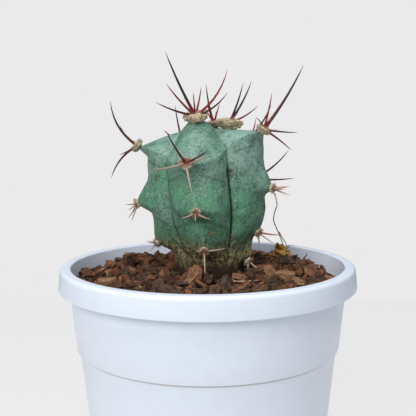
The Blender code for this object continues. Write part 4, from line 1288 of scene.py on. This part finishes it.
def build_stage(colours):
    """Lay the floor, and set the even backdrop, the two softboxes and the camera."""
    bm = bmesh.new()
    bmesh.ops.create_grid(bm, x_segments=1, y_segments=1, size=0.5 * FLOOR_SIZE)
    floor = new_object("studio_floor", bm, floor_material(colours))

    world = bpy.data.worlds.new("studio")
    bpy.context.scene.world = world
    world.use_nodes = True
    world.node_tree.nodes.clear()
    add = partial(add_node, world.node_tree)
    seen = add("Background", colours.backdrop, 1.0)
    light = add("Background", linear(FILL_TINT), AMBIENT)
    add("OutputWorld", add("MixShader", add("LightPath", out="Is Camera Ray"), light, seen))
    add_light("key_softbox", KEY_PLACE, KEY_SIZE, KEY_POWER, KEY_TINT)
    add_light("top_softbox", TOP_PLACE, TOP_SIZE, TOP_POWER, TOP_TINT)

    lens = bpy.data.cameras.new("camera")
    lens.lens = CAMERA_LENS
    camera = bpy.data.objects.new("camera", lens)
    bpy.context.scene.collection.objects.link(camera)
    camera.location = CAMERA_PLACE
    camera.rotation_euler = (Matrix.Rotation(math.radians(90.0 - CAMERA_PITCH), 3, "X")
                             @ Matrix.Rotation(math.radians(CAMERA_ROLL), 3, "Z")).to_euler()
    bpy.context.scene.camera = camera
    bpy.context.scene.view_settings.view_transform = "Standard"


# Add-on

class CACTUS_OT_pot(bpy.types.Operator):
    """Turn the nursery pot and drill its drain holes"""
    bl_idname = "cactus.pot"
    bl_label = "Pot"

    def execute(self, context):
        build_pot(context.scene.cactus_colours)
        return {"FINISHED"}


class CACTUS_OT_mix(bpy.types.Operator):
    """Mound the damp potting mix"""
    bl_idname = "cactus.mix"
    bl_label = "Potting mix"

    def execute(self, context):
        build_mix(context.scene.cactus_colours)
        return {"FINISHED"}


class CACTUS_OT_bark(bpy.types.Operator):
    """Heap the loose bark flakes and lay the coarse chips"""
    bl_idname = "cactus.bark"
    bl_label = "Bark"

    def execute(self, context):
        scene = context.scene
        build_bark(scene.cactus_sizes, scene.cactus_colours)
        build_chips(scene.cactus_colours)
        return {"FINISHED"}


class CACTUS_OT_stem(bpy.types.Operator):
    """Grow the ribbed stem"""
    bl_idname = "cactus.stem"
    bl_label = "Stem"

    def execute(self, context):
        build_stem(context.scene.cactus_sizes, context.scene.cactus_colours)
        return {"FINISHED"}


class CACTUS_OT_wool(bpy.types.Operator):
    """Felt the wool on every areole"""
    bl_idname = "cactus.wool"
    bl_label = "Wool"

    def execute(self, context):
        build_wool(context.scene.cactus_sizes, context.scene.cactus_colours)
        return {"FINISHED"}


class CACTUS_OT_spines(bpy.types.Operator):
    """Grow the spines of every areole"""
    bl_idname = "cactus.spines"
    bl_label = "Spines"

    def execute(self, context):
        build_spines(context.scene.cactus_sizes, context.scene.cactus_colours)
        return {"FINISHED"}


class CACTUS_OT_remains(bpy.types.Operator):
    """Lay the dried flower, the dry threads and the shed spines"""
    bl_idname = "cactus.remains"
    bl_label = "Dry remains"

    def execute(self, context):
        scene = context.scene
        build_flower(scene.cactus_colours)
        build_threads(scene.cactus_colours)
        build_fallen(scene.cactus_sizes, scene.cactus_colours)
        return {"FINISHED"}


class CACTUS_OT_stage(bpy.types.Operator):
    """Set the floor, the studio light and the camera"""
    bl_idname = "cactus.stage"
    bl_label = "Stage"

    def execute(self, context):
        build_stage(context.scene.cactus_colours)
        return {"FINISHED"}


OPERATORS = (CACTUS_OT_pot, CACTUS_OT_mix, CACTUS_OT_bark, CACTUS_OT_stem, CACTUS_OT_wool, CACTUS_OT_spines,
             CACTUS_OT_remains, CACTUS_OT_stage)


class CACTUS_PT_pieces(bpy.types.Panel):
    """Lists the pieces, with their sizes and colours"""
    bl_label = "Potted Round Cactus"
    bl_idname = "CACTUS_PT_pieces"
    bl_space_type = "VIEW_3D"
    bl_region_type = "UI"
    bl_category = "Cactus"

    def draw(self, context):
        for operator in OPERATORS:
            self.layout.operator(operator.bl_idname)
        for group in (context.scene.cactus_sizes, context.scene.cactus_colours):
            for name in group.__annotations__:
                self.layout.prop(group, name)


CLASSES = (CactusSizes, CactusColours, *OPERATORS, CACTUS_PT_pieces)


def register():
    for item in CLASSES:
        bpy.utils.register_class(item)
    bpy.types.Scene.cactus_sizes = PointerProperty(type=CactusSizes)
    bpy.types.Scene.cactus_colours = PointerProperty(type=CactusColours)


def unregister():
    del bpy.types.Scene.cactus_colours
    del bpy.types.Scene.cactus_sizes
    for item in reversed(CLASSES):
        bpy.utils.unregister_class(item)


def main():
    register()
    bpy.ops.cactus.pot()
    bpy.ops.cactus.mix()
    bpy.ops.cactus.bark()
    bpy.ops.cactus.stem()
    bpy.ops.cactus.wool()
    bpy.ops.cactus.spines()
    bpy.ops.cactus.remains()
    bpy.ops.cactus.stage()


if __name__ == "__main__":
    main()
